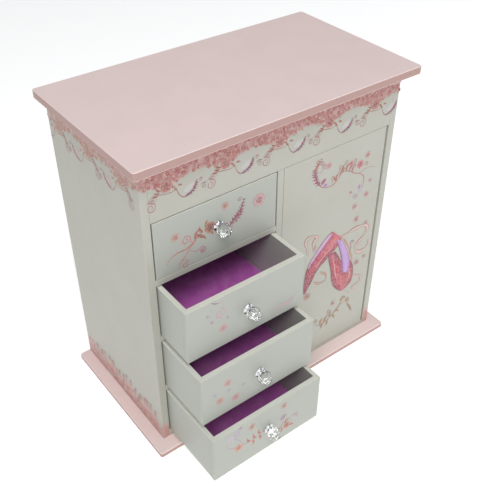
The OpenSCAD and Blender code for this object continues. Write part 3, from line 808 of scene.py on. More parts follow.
# %% Gather the net
NET = finish_of("stiff_net", Base_Color=tint("f0c3cd"), Roughness=0.6, Sheen_Weight=0.4)
tree = NET.node_tree
coord = add(tree, "ShaderNodeTexCoord").outputs["Object"]
mesh_cells = add(tree, "ShaderNodeTexVoronoi", Scale=2600.0)
mesh_cells.feature = "DISTANCE_TO_EDGE"
tree.links.new(coord, mesh_cells.inputs["Vector"])
thread = math_node(tree, "SUBTRACT", 1.0, math_node(tree, "MULTIPLY", mesh_cells.outputs["Distance"], 2.6,
                                                    True), True)
tree.links.new(math_node(tree, "ADD", math_node(tree, "MULTIPLY", thread, 0.75), 0.12, True),
               tree.nodes["Principled BSDF"].inputs["Alpha"])
hue = add(tree, "ShaderNodeTexNoise", Scale=260.0, Detail=2.0)
tree.links.new(coord, hue.inputs["Vector"])
tree.links.new(mix_colour(tree, hue.outputs["Fac"], tint("f3cdd5"), tint("e8a9b9")),
               tree.nodes["Principled BSDF"].inputs["Base Color"])
SKIRT_R = (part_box("tutu")[1].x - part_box("tutu")[0].x) / 2 / MM
WAIST_R = 3.1


def net_round(k):
    rows, cols, waves = 12, 240, 15 + 2 * k
    waist, rim_z, rim_r = 36.2 - 0.75 * k, 35.0 - 1.0 * k, SKIRT_R - 0.15 - 0.5 * k
    points, faces = [], []
    for i in range(rows + 1):
        t = i / rows
        for j in range(cols):
            a = 2 * math.pi * j / cols
            wave = math.sin(waves * a + 1.9 * k) + 0.3 * math.sin(2.3 * waves * a + k)
            r = WAIST_R + (rim_r - WAIST_R) * t - 0.12 * t * math.cos(2 * waves * a)
            z = waist + (rim_z - waist) * t ** 1.5 + 0.5 * math.sin(math.pi * t) + 0.62 * wave * t ** 1.2
            points.append(laid_down((r * math.cos(a), r * math.sin(a), z)))
    for i in range(rows):
        for j in range(cols):
            m = (j + 1) % cols
            faces.append((i * cols + j, (i + 1) * cols + j, (i + 1) * cols + m, i * cols + m))
    mesh = bpy.data.meshes.new(f"tutu_round_{k + 1}")
    mesh.from_pydata(points, [], faces)
    for f in mesh.polygons:
        f.use_smooth = True
    mesh.materials.append(NET)
    o = bpy.data.objects.new(mesh.name, mesh)
    scene.collection.objects.link(o)
    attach(o, "dancer")
    return o


rounds = [net_round(k) for k in range(4)]
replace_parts(rounds[0], "tutu")

# %% [markdown]
# ## Drawing with ink
# The real case is covered in printed paper: scrolls, roses, daisies, leaves and a pair of dancing shoes.
# The ink has no thickness worth measuring, but it has crisp outlines and it must ride on the drawer or
# door it is printed on. So it is drawn here as flat shapes that float a few hundredths of a millimetre
# above the board. A shape is a ribbon along a smooth path or a round petal, its colour is kept on its
# points, and it fades towards the paper at its rim as watercolour does.

# %% The ink pad
PAPER = tint("bdbeb6")


class Print:
    """Inked shapes of one panel: u across, v up, both in millimetres, each shape a hair above the last."""

    def __init__(self, paper=PAPER, seed=1, low=0.02, step=0.0015):
        self.points, self.faces, self.inks = [], [], []
        self.paper, self.height, self.step, self.dice = paper, low, step, random.Random(seed)

    def _put(self, p, ink):
        self.points.append((p[0], p[1], self.height))
        self.inks.append(ink)
        return len(self.points) - 1

    def ribbon(self, path, widths, columns):
        """columns are inks from the right edge of the path to its left edge."""
        self.height += self.step
        n, rows = len(path), []
        for i, p in enumerate(path):
            along = (path[min(i + 1, n - 1)] - path[max(i - 1, 0)])
            side = Vector((-along.y, along.x)).normalized() if along.length > 1e-9 else Vector((0, 1))
            rows.append([self._put(p + side * widths[i] * (k / (len(columns) - 1) - 0.5), ink) for k,
                         ink in enumerate(columns)])
        for r, s in zip(rows, rows[1:]):
            for k in range(len(r) - 1):
                self.faces.append((r[k], s[k], s[k + 1], r[k + 1]))

    def stroke(self, points, wide, ink, start=0.25, end=0.25, soft=0.5):
        path = smooth_path(points)
        n = len(path) - 1
        widths = [wide * (start + (1 - start) * min(1, 3 * i / n))
                  * (end + (1 - end) * min(1, 3 * (n - i) / n)) for i in range(n + 1)]
        rim = blended(ink, self.paper, soft)
        self.ribbon(path, widths, (rim, ink, ink, rim))

    def leaf(self, base, tip, wide, ink, vein=None, bend=0.15):
        a, b = Vector(base), Vector(tip)
        across = Vector((-(b - a).y, (b - a).x))
        path = smooth_path([a, (a + b) / 2 + across * bend, b], 0.6)
        n = len(path) - 1
        widths = [max(0.12, wide * math.sin(math.pi * min(1, (i / n) ** 0.8 * 0.97 + 0.03)))
                  for i in range(n + 1)]
        rim = blended(ink, self.paper, 0.45)
        self.ribbon(path, widths, (rim, ink, vein or blended(ink, (0.2, 0.01, 0.04, 1), 0.3), ink, rim))

    def petal(self, centre, angle, length, wide, ink, core=None):
        """An egg-shaped blot that starts at centre and points along angle."""
        self.height += self.step
        c = Vector(centre)
        ax, ay = Vector((math.cos(angle), math.sin(angle))), Vector((-math.sin(angle), math.cos(angle)))
        middle = self._put(c + ax * length * 0.45, core or ink)
        rings = []
        for share, mixed in ((0.62, ink), (1.0, blended(ink, self.paper, 0.5))):
            ring = []
            for k in range(12):
                t = 2 * math.pi * k / 12
                ring.append(self._put(c + ax * length * (0.5 + 0.5 * share * math.cos(t)) + ay * wide / 2
                                      * share * math.sin(t) * (1 - 0.25 * math.cos(t)), mixed))
            rings.append(ring)
        for k in range(12):
            m = (k + 1) % 12
            self.faces.append((middle, rings[0][k], rings[0][m]))
            self.faces.append((rings[0][k], rings[1][k], rings[1][m], rings[0][m]))

    def curl(self, centre, radius, start, turns, wide, ink, lead=None):
        """A spiral that winds in to centre; lead are points that bring the line up to it."""
        points = list(lead or [])
        n = max(6, int(abs(turns) * 9))
        for i in range(n + 1):
            a = start + 2 * math.pi * turns * i / n
            r = radius * (1 - 0.82 * i / n)
            points.append((centre[0] + r * math.cos(a), centre[1] + r * math.sin(a)))
        self.stroke(points, wide, ink, 0.35, 0.6)

    def daisy(self, centre, radius, ink, heart, petals=9):
        """Thin looped petals with a faint fill, round a ring and a dot."""
        c, turn = Vector(centre), self.dice.random()
        spoke = lambda angle, r: c + Vector((math.cos(angle), math.sin(angle))) * radius * r
        for k in range(petals):
            a, half = 2 * math.pi * (k + turn) / petals, 0.75 * math.pi / petals
            self.petal(spoke(a, 0.34), a, radius * 0.66, radius * 0.34, blended(ink, self.paper, 0.55))
            self.stroke([spoke(a, 0.36), spoke(a - half, 0.82), spoke(a, 1.0), spoke(a + half, 0.82),
                         spoke(a, 0.36)], radius * 0.1 + 0.08, blended(heart, self.paper, 0.25), 1, 1, 0.6)
        self.stroke([spoke(t * math.pi / 5, 0.3) for t in range(11)], radius * 0.1 + 0.08, heart, 1, 1, 0.4)
        self.petal(c - Vector((radius * 0.12, 0)), 0, radius * 0.24, radius * 0.24, heart)

    def rose(self, centre, radius, deep, middle, pale, turn=0.0):
        c = Vector(centre)
        for count, reach, size, ink, core in ((5, 0.95, 0.95, pale, middle), (5, 0.68, 0.75, middle, deep),
                                              (3, 0.42, 0.6, deep, blended(deep, middle, 0.4))):
            for k in range(count):
                a = turn + 2 * math.pi * (k + 0.37 * count) / count
                d = Vector((math.cos(a), math.sin(a)))
                self.petal(c + d * radius * (reach - size * 0.8), a, radius * size * 0.9,
                           radius * size * 1.05, ink, core)
        self.curl(c, radius * 0.42, turn, 1.6, radius * 0.13, blended(deep, (0.12, 0.0, 0.01, 1), 0.35))
        for k in range(5):
            a = turn + 2 * math.pi * (k + 0.2) / 5
            arc = [c + Vector((math.cos(a + s), math.sin(a + s))) * radius * (0.78 - 0.08 * abs(s))
                   for s in (-0.5, -0.17, 0.17, 0.5)]
            self.stroke(arc, radius * 0.11, deep, 0.3, 0.3, 0.3)

    def feather(self, points, leaf_size, ink, second, stem=0.6, gap=2.4):
        """A stem with small leaves on both sides, which grow and then shrink along it."""
        path = smooth_path(points, gap)
        for i in range(1, len(path)):
            along = (path[i] - path[i - 1]).normalized()
            side = Vector((-along.y, along.x))
            share = i / (len(path) - 1)
            size = leaf_size * (0.45 + 0.75 * math.sin(math.pi * (0.15 + 0.75 * share)))
            for s in (-1, 1):
                mixed = blended(ink, second, self.dice.random())
                tip = path[i] + (along * 0.75 + side * s * 0.75) * size
                self.leaf(path[i], tip, size * 0.36, mixed, None, -0.2 * s)
        self.stroke(points, stem, blended(ink, second, 0.5), 0.3, 0.2, 0.3)

    def ruffled(self, points, wide, inks, folds=0):
        """A silk ribbon: a band with light and dark columns and a shade where it folds."""
        path = smooth_path(points)
        n = len(path) - 1
        widths = [wide * (0.35 + 0.65 * abs(math.cos(math.pi * folds * i / n)))
                  * min(1, 0.4 + 4 * min(i, n - i) / n) for i in range(n + 1)]
        self.ribbon(path, widths, inks)


def printed(name, sheet, place, body, material):
    """Turns a print into a mesh piece on a panel; place maps (u, v, height) to the frame, in metres."""
    mesh = bpy.data.meshes.new(name)
    mesh.from_pydata([place(*p) for p in sheet.points], [], sheet.faces)
    ink = mesh.color_attributes.new("ink", "FLOAT_COLOR", "POINT")
    ink.data.foreach_set("color", [c for colour in sheet.inks for c in colour])
    mesh.materials.append(material)
    o = bpy.data.objects.new(name, mesh)
    scene.collection.objects.link(o)
    if body:
        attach(o, body)
    print(f"{name}: {len(sheet.faces)} faces of ink on {body}")
    return o


# %% [markdown]
# The ink itself is one finish for every panel. It takes its colour from the points, lets a little of the
# paper show through in clouds, and stays as flat and dull as the paper around it.

# %% Ink
INK = finish_of("printing_ink", Roughness=0.45)
tree = INK.node_tree
own = add(tree, "ShaderNodeAttribute", attribute_name="ink")
wash = add(tree, "ShaderNodeTexNoise", Scale=900.0, Detail=3.0)
tree.links.new(add(tree, "ShaderNodeTexCoord").outputs["Object"], wash.inputs["Vector"])
thin = math_node(tree, "MULTIPLY", math_node(tree, "SUBTRACT", wash.outputs["Fac"], 0.42), 1.6, True)
tree.links.new(mix_colour(tree, thin, own.outputs["Color"], PAPER),
               tree.nodes["Principled BSDF"].inputs["Base Color"])

RED, CORAL, ROSE, BLUSH = tint("a32338"), tint("bf5a48"), tint("c25a70"), tint("d8a09c")
PLUM, LILAC, MAGENTA, PEACH = tint("7f2f6b"), tint("a77fb8"), tint("a8326a"), tint("cf9a80")
VINE, RUST, DEEP_PLUM = tint("a2595a"), tint("9c4a3c"), tint("6d2350")
BROWN, ORANGE, PALE_LILAC = tint("9a6a58"), tint("bf6a35"), tint("c9b0cf")


def on_front(y):
    return lambda u, v, h: (u * MM, y - h * MM, v * MM)


def on_left(x):
    return lambda u, v, h: (x - h * MM, -u * MM, v * MM)


def on_right(x):
    return lambda u, v, h: (x + h * MM, u * MM, v * MM)


FRONT_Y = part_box("top_rail")[0].y
LEFT_X, RIGHT_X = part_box("side_left")[0].x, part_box("side_right")[1].x
print("front face at y", round(FRONT_Y, 5), "sides at x", round(LEFT_X, 5), round(RIGHT_X, 5))

# %% [markdown]
# ## The border under the lid
# A band of lace runs round the case under the lid, and a scroll hangs from it: a rose with a trumpet
# flower, a line that dips like a garland, a spray of plum-coloured leaves and a curl. One such scroll is
# drawn once. On the real paper it repeats every 44 mm, so Geometry Nodes lay copies of it in a row,
# cut off whatever passes the end of the board, and join them into one mesh.

# %% One scroll
def scroll(seed, mirrored=1, peach=0.0):
    p = Print(seed=seed, low=0.08, step=0.0012)
    m = lambda pts: [(mirrored * u, v) for u, v in pts]
    tone = lambda c: blended(c, PEACH, peach)
    p.petal((mirrored * 12.5, -8.8), 0.45 if mirrored > 0 else math.pi - 0.45, 9.5, 4.6,
            tone(blended(PALE_LILAC, PAPER, 0.8)))
    p.curl((mirrored * -11.6, -11.2), 3.8, math.pi / 2, -1.55 * mirrored, 0.62, tone(VINE),
           m([(-1, -5.2), (-6, -4.2), (-10, -5.6), (-13.0, -7.4)]))
    p.curl((mirrored * -10.2, -7.6), 1.7, 0, 1.3 * mirrored, 0.45, tone(VINE), m([(-6.5, -5.5)]))
    p.stroke(m([(-14.5, -7.5), (-9.5, -3.6), (-3, -4.6), (3, -5.4), (8, -4.5)]), 0.55, tone(RUST))
    p.stroke(m([(7, -3.6), (8.8, -9), (12.3, -12.4), (16.5, -11.8), (20.5, -9)]), 0.75,
             tone(blended(PLUM, RUST, 0.5)))
    p.stroke(m([(13.0, -12.0), (16.8, -11.0), (19.8, -8.6), (22.0, -4.6)]), 1.2, tone(DEEP_PLUM), 0.3, 0.3,
             0.3)
    p.feather(m([(12.5, -12.0), (16.5, -11.4), (19.6, -9.6), (21.8, -6.4)]), 2.0, tone(DEEP_PLUM),
              tone(PLUM), 0.9, 1.9)
    p.feather(m([(18.0, -10.0), (20.4, -7.4), (22.0, -4.4)]), 1.8, tone(RED), tone(DEEP_PLUM), 0.6, 1.9)
    p.curl((mirrored * 25.0, -3.8), 1.6, -2.4, 1.2 * mirrored, 0.42, tone(RED))
    for u, v, a in ((3.6, -1.4, -0.5), (5.4, -2.8, -0.9), (8.4, -2.2, -0.2)):
        p.petal((mirrored * u, v), a if mirrored > 0 else math.pi - a, 3.4, 1.5, tone(RUST), tone(ORANGE))
    p.rose((0, 0), 4.4, tone(tint("94383a")), tone(tint("b05450")), tone(tint("bd7a72")), 0.4)
    for k in range(3):
        p.leaf((mirrored * (-3.5 - k), -1.5 - k), (mirrored * (-7.5 - 1.5 * k), 0.8 - 2.4 * k), 1.3,
               tone(RUST))
    p.curl((mirrored * 27.6, -9.6), 2.3, 0.6, 1.4 * mirrored, 0.42, tone(VINE),
           m([(24.6, -8.0), (26.6, -7.2)]))
    return p


# %% The tree that lays scrolls in a row
def row_tree():
    t = bpy.data.node_groups.new("row_of_motifs", "GeometryNodeTree")
    ids = {k: node_input(t, k, kind, v) for k, kind,
           v in (("Motif", "NodeSocketObject", None), ("Count", "NodeSocketInt", 5),
                 ("First", "NodeSocketVector", (0, 0, 0)), ("Step", "NodeSocketVector", (0.044, 0, 0)),
                 ("Middle", "NodeSocketVector", (0, 0, 0)), ("Half Length", "NodeSocketFloat", 0.1),
                 ("Finish", "NodeSocketMaterial", None))}
    t.interface.new_socket(name="Geometry", in_out="OUTPUT", socket_type="NodeSocketGeometry")
    gi, go = t.nodes.new("NodeGroupInput"), t.nodes.new("NodeGroupOutput")
    line, info = t.nodes.new("GeometryNodeMeshLine"), t.nodes.new("GeometryNodeObjectInfo")
    line.mode = "OFFSET"
    put, real = t.nodes.new("GeometryNodeInstanceOnPoints"), t.nodes.new("GeometryNodeRealizeInstances")
    here, away, far = t.nodes.new("GeometryNodeInputPosition"), t.nodes.new(
        "ShaderNodeVectorMath"), t.nodes.new("FunctionNodeCompare")
    away.operation, far.data_type, far.operation = "DISTANCE", "FLOAT", "GREATER_THAN"
    flat_, flat_m = t.nodes.new("ShaderNodeVectorMath"), t.nodes.new("ShaderNodeVectorMath")
    flat_.operation = flat_m.operation = "MULTIPLY"
    flat_.inputs[1].default_value = flat_m.inputs[1].default_value = (1, 1, 0)
    cut, paint = t.nodes.new("GeometryNodeDeleteGeometry"), t.nodes.new("GeometryNodeSetMaterial")
    link = t.links.new
    link(gi.outputs["Count"], line.inputs["Count"])
    link(gi.outputs["First"], line.inputs["Start Location"])
    link(gi.outputs["Step"], line.inputs["Offset"])
    link(gi.outputs["Motif"], info.inputs["Object"])
    link(line.outputs[0], put.inputs["Points"])
    link(info.outputs["Geometry"], put.inputs["Instance"])
    link(put.outputs[0], real.inputs[0])
    link(real.outputs[0], cut.inputs["Geometry"])
    link(here.outputs[0], flat_.inputs[0])
    link(gi.outputs["Middle"], flat_m.inputs[0])
    link(flat_.outputs[0], away.inputs[0])
    link(flat_m.outputs[0], away.inputs[1])
    link(away.outputs["Value"], far.inputs["A"])
    link(gi.outputs["Half Length"], far.inputs["B"])
    link(far.outputs["Result"], cut.inputs["Selection"])
    link(cut.outputs[0], paint.inputs["Geometry"])
    link(gi.outputs["Finish"], paint.inputs["Material"])
    link(paint.outputs[0], go.inputs["Geometry"])
    return t, ids


ROW, ROW_IN = row_tree()


def border(name, sheet, place, body, first, step, count, middle, half):
    """A scroll drawn round its own origin, laid in a row along one panel."""
    motif = printed(name + "_motif", sheet, lambda u, v, h: Vector(place(u, v, h)) - Vector(place(0, 0, 0)),
                    None, INK)
    a, b, m = Vector(place(first, 231.5, 0)), Vector(place(first + step, 231.5, 0)), Vector(place(middle,
            231.5, 0))
    row = made_by(ROW, ROW_IN, name, {"Motif": motif, "Count": count, "First": a, "Step": b - a,
                                      "Middle": m, "Half Length": half * MM, "Finish": INK})
    bpy.data.objects.remove(motif)
    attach(row, body)
    print(f"{name}: {count} scrolls, {len(row.data.polygons)} faces")
    return row


DEPTH_MIDDLE = -(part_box("side_left")[0].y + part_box("side_left")[1].y) / 2 / MM
HALF_WIDTH, HALF_DEPTH = 109.7, 59.7  # the print stops 0.3 mm short of each corner
FRONT_FIRST, LEFT_FIRST, RIGHT_FIRST = -91.0, -50.5, -34.0  # centre of the first rose on each panel
FRONT_PITCH, SIDE_PITCH = 44.3, 42.0
border("front_scrolls", scroll(5), on_front(FRONT_Y), "case", FRONT_FIRST, FRONT_PITCH, 5, 0, HALF_WIDTH)
border("left_scrolls", scroll(6, -1, 0.45), on_left(LEFT_X), "case", LEFT_FIRST, SIDE_PITCH, 3,
       DEPTH_MIDDLE, HALF_DEPTH)
border("right_scrolls", scroll(7, 1, 0.45), on_right(RIGHT_X), "case", RIGHT_FIRST, SIDE_PITCH, 3,
       -DEPTH_MIDDLE, HALF_DEPTH)

# %% [markdown]
# The lace above the scrolls is a mottled wash of pinks with a scalloped lower edge. Small blossoms,
# curls and petals are scattered all over it. Scattering is the kind of thing Geometry Nodes do well:
# points spread evenly on the band with a fixed seed, and on each one a blossom, turned at random.

# %% The wash
def band(name, place, body, u0, u1, low, high, edge, shades, soft=1.2, peach=0.0):
    """A band of mottled wash from low (a function of u) up to high, or from low down where high is under it."""
    p = Print(low=0.03)
    cols, rows = int((u1 - u0) / 0.9), 18
    grid = []
    for i in range(cols + 1):
        u = u0 + (u1 - u0) * i / cols
        v0, v1 = low(u), high(u)
        line = []
        for j in range(rows + 1):
            v = v0 + (v1 - v0) * j / rows
            a = noise.noise(Vector((u * 0.42, v * 0.42, edge)))
            b = noise.noise(Vector((u * 0.16, v * 0.2, edge + 7)))
            ink = blended(shades[0], shades[1], max(0, min(1, 0.5 + 1.3 * a)))
            ink = blended(ink, shades[2], max(0, min(1, (b - 0.05) * 2.0)))
            ink = blended(ink, PEACH, peach)
            rim = min((v - min(v0, v1)), (max(v0, v1) - v)) if edge < 0 else (v - v0 if v1 > v0 else v0 - v)
            line.append(p._put((u, v), blended(ink, p.paper, max(0, 0.65 - abs(rim) / soft * 0.65))))
        grid.append(line)
    for r, s in zip(grid, grid[1:]):
        for k in range(rows):
            p.faces.append((r[k], s[k], s[k + 1], r[k + 1]) if high(u0) > low(u0)
                           else (r[k + 1], s[k + 1], s[k], r[k]))
    return printed(name, p, place, body, INK)


def scalloped(first, pitch):
    """Lower edge of the lace: small scallops that dip below each rose."""
    return lambda u: 232.6 - 1.9 * math.cos(2 * math.pi * (u - first) / pitch) + 0.9 * abs(
        math.sin(math.pi * u / 5.5))


LACE = (tint("b06a68"), tint("c28a86"), tint("c9a29b"))
SIDE_LACE = (tint("b8897c"), tint("c59f92"), tint("c6b2a6"))
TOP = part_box("side_left")[1].z / MM - 0.3
front_lace = band("front_lace", on_front(FRONT_Y), "case", -HALF_WIDTH, HALF_WIDTH,
                  scalloped(FRONT_FIRST, FRONT_PITCH), lambda u: TOP, 3.0, LACE)
left_lace = band("left_lace", on_left(LEFT_X), "case", DEPTH_MIDDLE - HALF_DEPTH, DEPTH_MIDDLE + HALF_DEPTH,
                 scalloped(LEFT_FIRST, SIDE_PITCH), lambda u: TOP, 5.0, SIDE_LACE)
right_lace = band("right_lace", on_right(RIGHT_X), "case", -DEPTH_MIDDLE - HALF_DEPTH,
                  -DEPTH_MIDDLE + HALF_DEPTH, scalloped(RIGHT_FIRST, SIDE_PITCH), lambda u: TOP, 9.0,
                  SIDE_LACE)

# %% Blossoms scattered on the lace
def scatter_tree():
    t = bpy.data.node_groups.new("scattered_blossoms", "GeometryNodeTree")
    ids = {k: node_input(t, k, kind, v) for k, kind,
           v in (("Band", "NodeSocketObject", None), ("Blossom", "NodeSocketObject", None),
                 ("Gap", "NodeSocketFloat", 0.003), ("Density", "NodeSocketFloat", 120000.0),
                 ("Seed", "NodeSocketInt", 1), ("Smallest", "NodeSocketFloat", 0.6),
                 ("Largest", "NodeSocketFloat", 1.25), ("Lift", "NodeSocketVector", (0, 0, 0)),
                 ("Finish", "NodeSocketMaterial", None))}
    t.interface.new_socket(name="Geometry", in_out="OUTPUT", socket_type="NodeSocketGeometry")
    gi, go = t.nodes.new("NodeGroupInput"), t.nodes.new("NodeGroupOutput")
    band_in, flower = t.nodes.new("GeometryNodeObjectInfo"), t.nodes.new("GeometryNodeObjectInfo")
    spread, turn = t.nodes.new("GeometryNodeDistributePointsOnFaces"), t.nodes.new("FunctionNodeRandomValue")
    spread.distribute_method = "POISSON"
    turn.data_type = "FLOAT"
    turn.inputs[3].default_value = 2 * math.pi
    size = t.nodes.new("FunctionNodeRandomValue")
    size.data_type = "FLOAT"
    spin = t.nodes.new("FunctionNodeRotateRotation")
    spin.rotation_space = "LOCAL"
    axis = t.nodes.new("FunctionNodeAxisAngleToRotation")
    put, real, lift, paint = (t.nodes.new(k) for k in ("GeometryNodeInstanceOnPoints",
            "GeometryNodeRealizeInstances", "GeometryNodeTransform", "GeometryNodeSetMaterial"))
    link = t.links.new
    link(gi.outputs["Band"], band_in.inputs["Object"])
    link(gi.outputs["Blossom"], flower.inputs["Object"])
    link(band_in.outputs["Geometry"], spread.inputs["Mesh"])
    link(gi.outputs["Gap"], spread.inputs["Distance Min"])
    link(gi.outputs["Density"], spread.inputs["Density Max"])
    link(gi.outputs["Seed"], spread.inputs["Seed"])
    link(gi.outputs["Seed"], turn.inputs["Seed"])
    link(gi.outputs["Seed"], size.inputs["Seed"])
    link(gi.outputs["Smallest"], size.inputs[2])
    link(gi.outputs["Largest"], size.inputs[3])
    link(turn.outputs[1], axis.inputs["Angle"])
    link(spread.outputs["Rotation"], spin.inputs["Rotation"])
    link(axis.outputs[0], spin.inputs["Rotate By"])
    link(spread.outputs["Points"], put.inputs["Points"])
    link(flower.outputs["Geometry"], put.inputs["Instance"])
    link(spin.outputs[0], put.inputs["Rotation"])
    link(size.outputs[1], put.inputs["Scale"])
    link(put.outputs[0], lift.inputs["Geometry"])
    link(gi.outputs["Lift"], lift.inputs["Translation"])
    link(lift.outputs[0], real.inputs[0])
    link(real.outputs[0], paint.inputs["Geometry"])
    link(gi.outputs["Finish"], paint.inputs["Material"])
    link(paint.outputs[0], go.inputs["Geometry"])
    return t, ids


SCATTER, SCATTER_IN = scatter_tree()


def blossom(kind, peach=0.0):
    p = Print(paper=blended(tint("bd8580"), PEACH, peach), seed=3, low=0.0, step=0.0006)
    tone = lambda c: blended(c, PEACH, peach)
    if kind == "flower":
        for k in range(5):
            p.petal((0, 0), 2 * math.pi * k / 5, 1.5, 1.1, tone(tint("a8544f")), tone(tint("9c4448")))
        p.petal((-0.25, 0), 0, 0.5, 0.5, tone(tint("c89a8e")))
    elif kind == "curl":
        p.curl((0, 0), 1.4, 0, 1.3, 0.42, tone(tint("a5504a")), [(2.8, -1.2)])
        p.petal((1.9, -0.9), 2.4, 1.3, 0.7, tone(tint("b0604a")))
    else:
        p.petal((-0.9, 0), 0.2, 1.9, 1.2, tone(tint("d2aca4")))
        p.petal((0.4, 0.5), 1.4, 1.2, 0.8, tone(tint("cba39b")))
    return printed("blossom_" + kind, p, lambda u, v, h: (u * MM, v * MM, h * MM), None, INK)


def strewn(name, lace, body, out, peach, amount):
    """Three kinds of small print strewn on one band, then joined into one piece."""
    parts = []
    for i, (kind, gap) in enumerate((("flower", 0.0034), ("curl", 0.0042), ("petal", 0.0038))):
        b = blossom(kind, peach)
        parts.append(made_by(SCATTER, SCATTER_IN, f"{name}_{kind}",
                             {"Band": lace, "Blossom": b, "Gap": gap / amount, "Seed": 11 + i,
                              "Lift": Vector(out) * (0.02 + 0.012 * i) * MM, "Finish": INK}))
        bpy.data.objects.remove(b)
    for o in bpy.context.selected_objects:
        o.select_set(False)
    for o in parts:
        o.select_set(True)
    bpy.context.view_layer.objects.active = parts[0]
    bpy.ops.object.join()
    joined = bpy.context.view_layer.objects.active
    joined.name = joined.data.name = name
    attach(joined, body)
    print(f"{name}: {len(joined.data.polygons)} faces")
    return joined


strewn("front_lace_blossoms", front_lace, "case", (0, -1, 0), 0.0, 1.0)
strewn("left_lace_blossoms", left_lace, "case", (-1, 0, 0), 0.35, 0.85)
strewn("right_lace_blossoms", right_lace, "case", (1, 0, 0), 0.35, 0.85)

# %% [markdown]
# Round the foot of the sides runs a second, rosier band with a ragged floral edge, which also turns the
# corner on to the front ends of the side boards.

# %% The border at the foot
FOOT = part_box("side_left")[0].z / MM + 0.2
FOOT_PINKS = (tint("c08480"), tint("c89a93"), tint("cbaaa2"))


def foot_edge(phase):
    return lambda u: FOOT + 18.0 + 2.0 * math.sin(u * 0.21 + phase) + 0.9 * math.sin(u * 0.7 + phase)


def foot_flowers(seed, u0, u1, edge):
    p = Print(seed=seed, low=0.07, step=0.0008)
    u = u0 + 4
    while u < u1 - 4:
        v = edge(u)
        kind = p.dice.random()
        if kind < 0.35:
            p.rose((u, v - 1), 2.6 + p.dice.random(), ROSE, BLUSH, tint("dbb6ae"), p.dice.random() * 6)
        elif kind < 0.7:
            p.curl((u, v + 2.2), 2.0, p.dice.random() * 6, 1.2, 0.5, BLUSH, [(u - 3, v - 3)])
            p.feather([(u, v - 2), (u + 1.5, v + 2), (u + 2.0, v + 6)], 1.7, BLUSH, ROSE, 0.4, 1.9)
        else:
            p.daisy((u, v + 4.5), 1.7, BLUSH, ROSE, 7)
            p.petal((u - 1, v - 2), 1.6, 3.2, 2.4, BLUSH, ROSE)
        for k in range(3):
            p.petal((u + p.dice.uniform(-3, 3), FOOT + p.dice.uniform(2, 15)), p.dice.random() * 6, 2.0,
                    1.4, ROSE if p.dice.random() < 0.5 else BLUSH)
        u += 5.0 + 2.5 * p.dice.random()
    return p


for name, place, u0, u1, phase, seed in (("left_foot", on_left(LEFT_X), DEPTH_MIDDLE - HALF_DEPTH,
                                          DEPTH_MIDDLE + HALF_DEPTH, 0.4, 21),
                                         ("right_foot", on_right(RIGHT_X), -DEPTH_MIDDLE - HALF_DEPTH,
                                          -DEPTH_MIDDLE + HALF_DEPTH, 1.9, 22),
                                         ("front_foot_left", on_front(FRONT_Y), -HALF_WIDTH, -104.3, 0.9,
                                          23), ("front_foot_right", on_front(FRONT_Y), 104.3, HALF_WIDTH,
                                                2.2, 24)):
    edge = foot_edge(phase)
    band(name + "_wash", place, "case", u0, u1, edge, lambda u: FOOT, 4.0 + phase, FOOT_PINKS, 7.0)
    if u1 - u0 > 20:
        printed(name + "_flowers", foot_flowers(seed, u0, u1, edge), place, "case", INK)

# %% [markdown]
# ## Drawer fronts
# The sprays are loose and different on every drawer: a branch with a coral rose on the top one,
# a falling curl and some daisies on the next two, and a vine with two roses on the lowest.

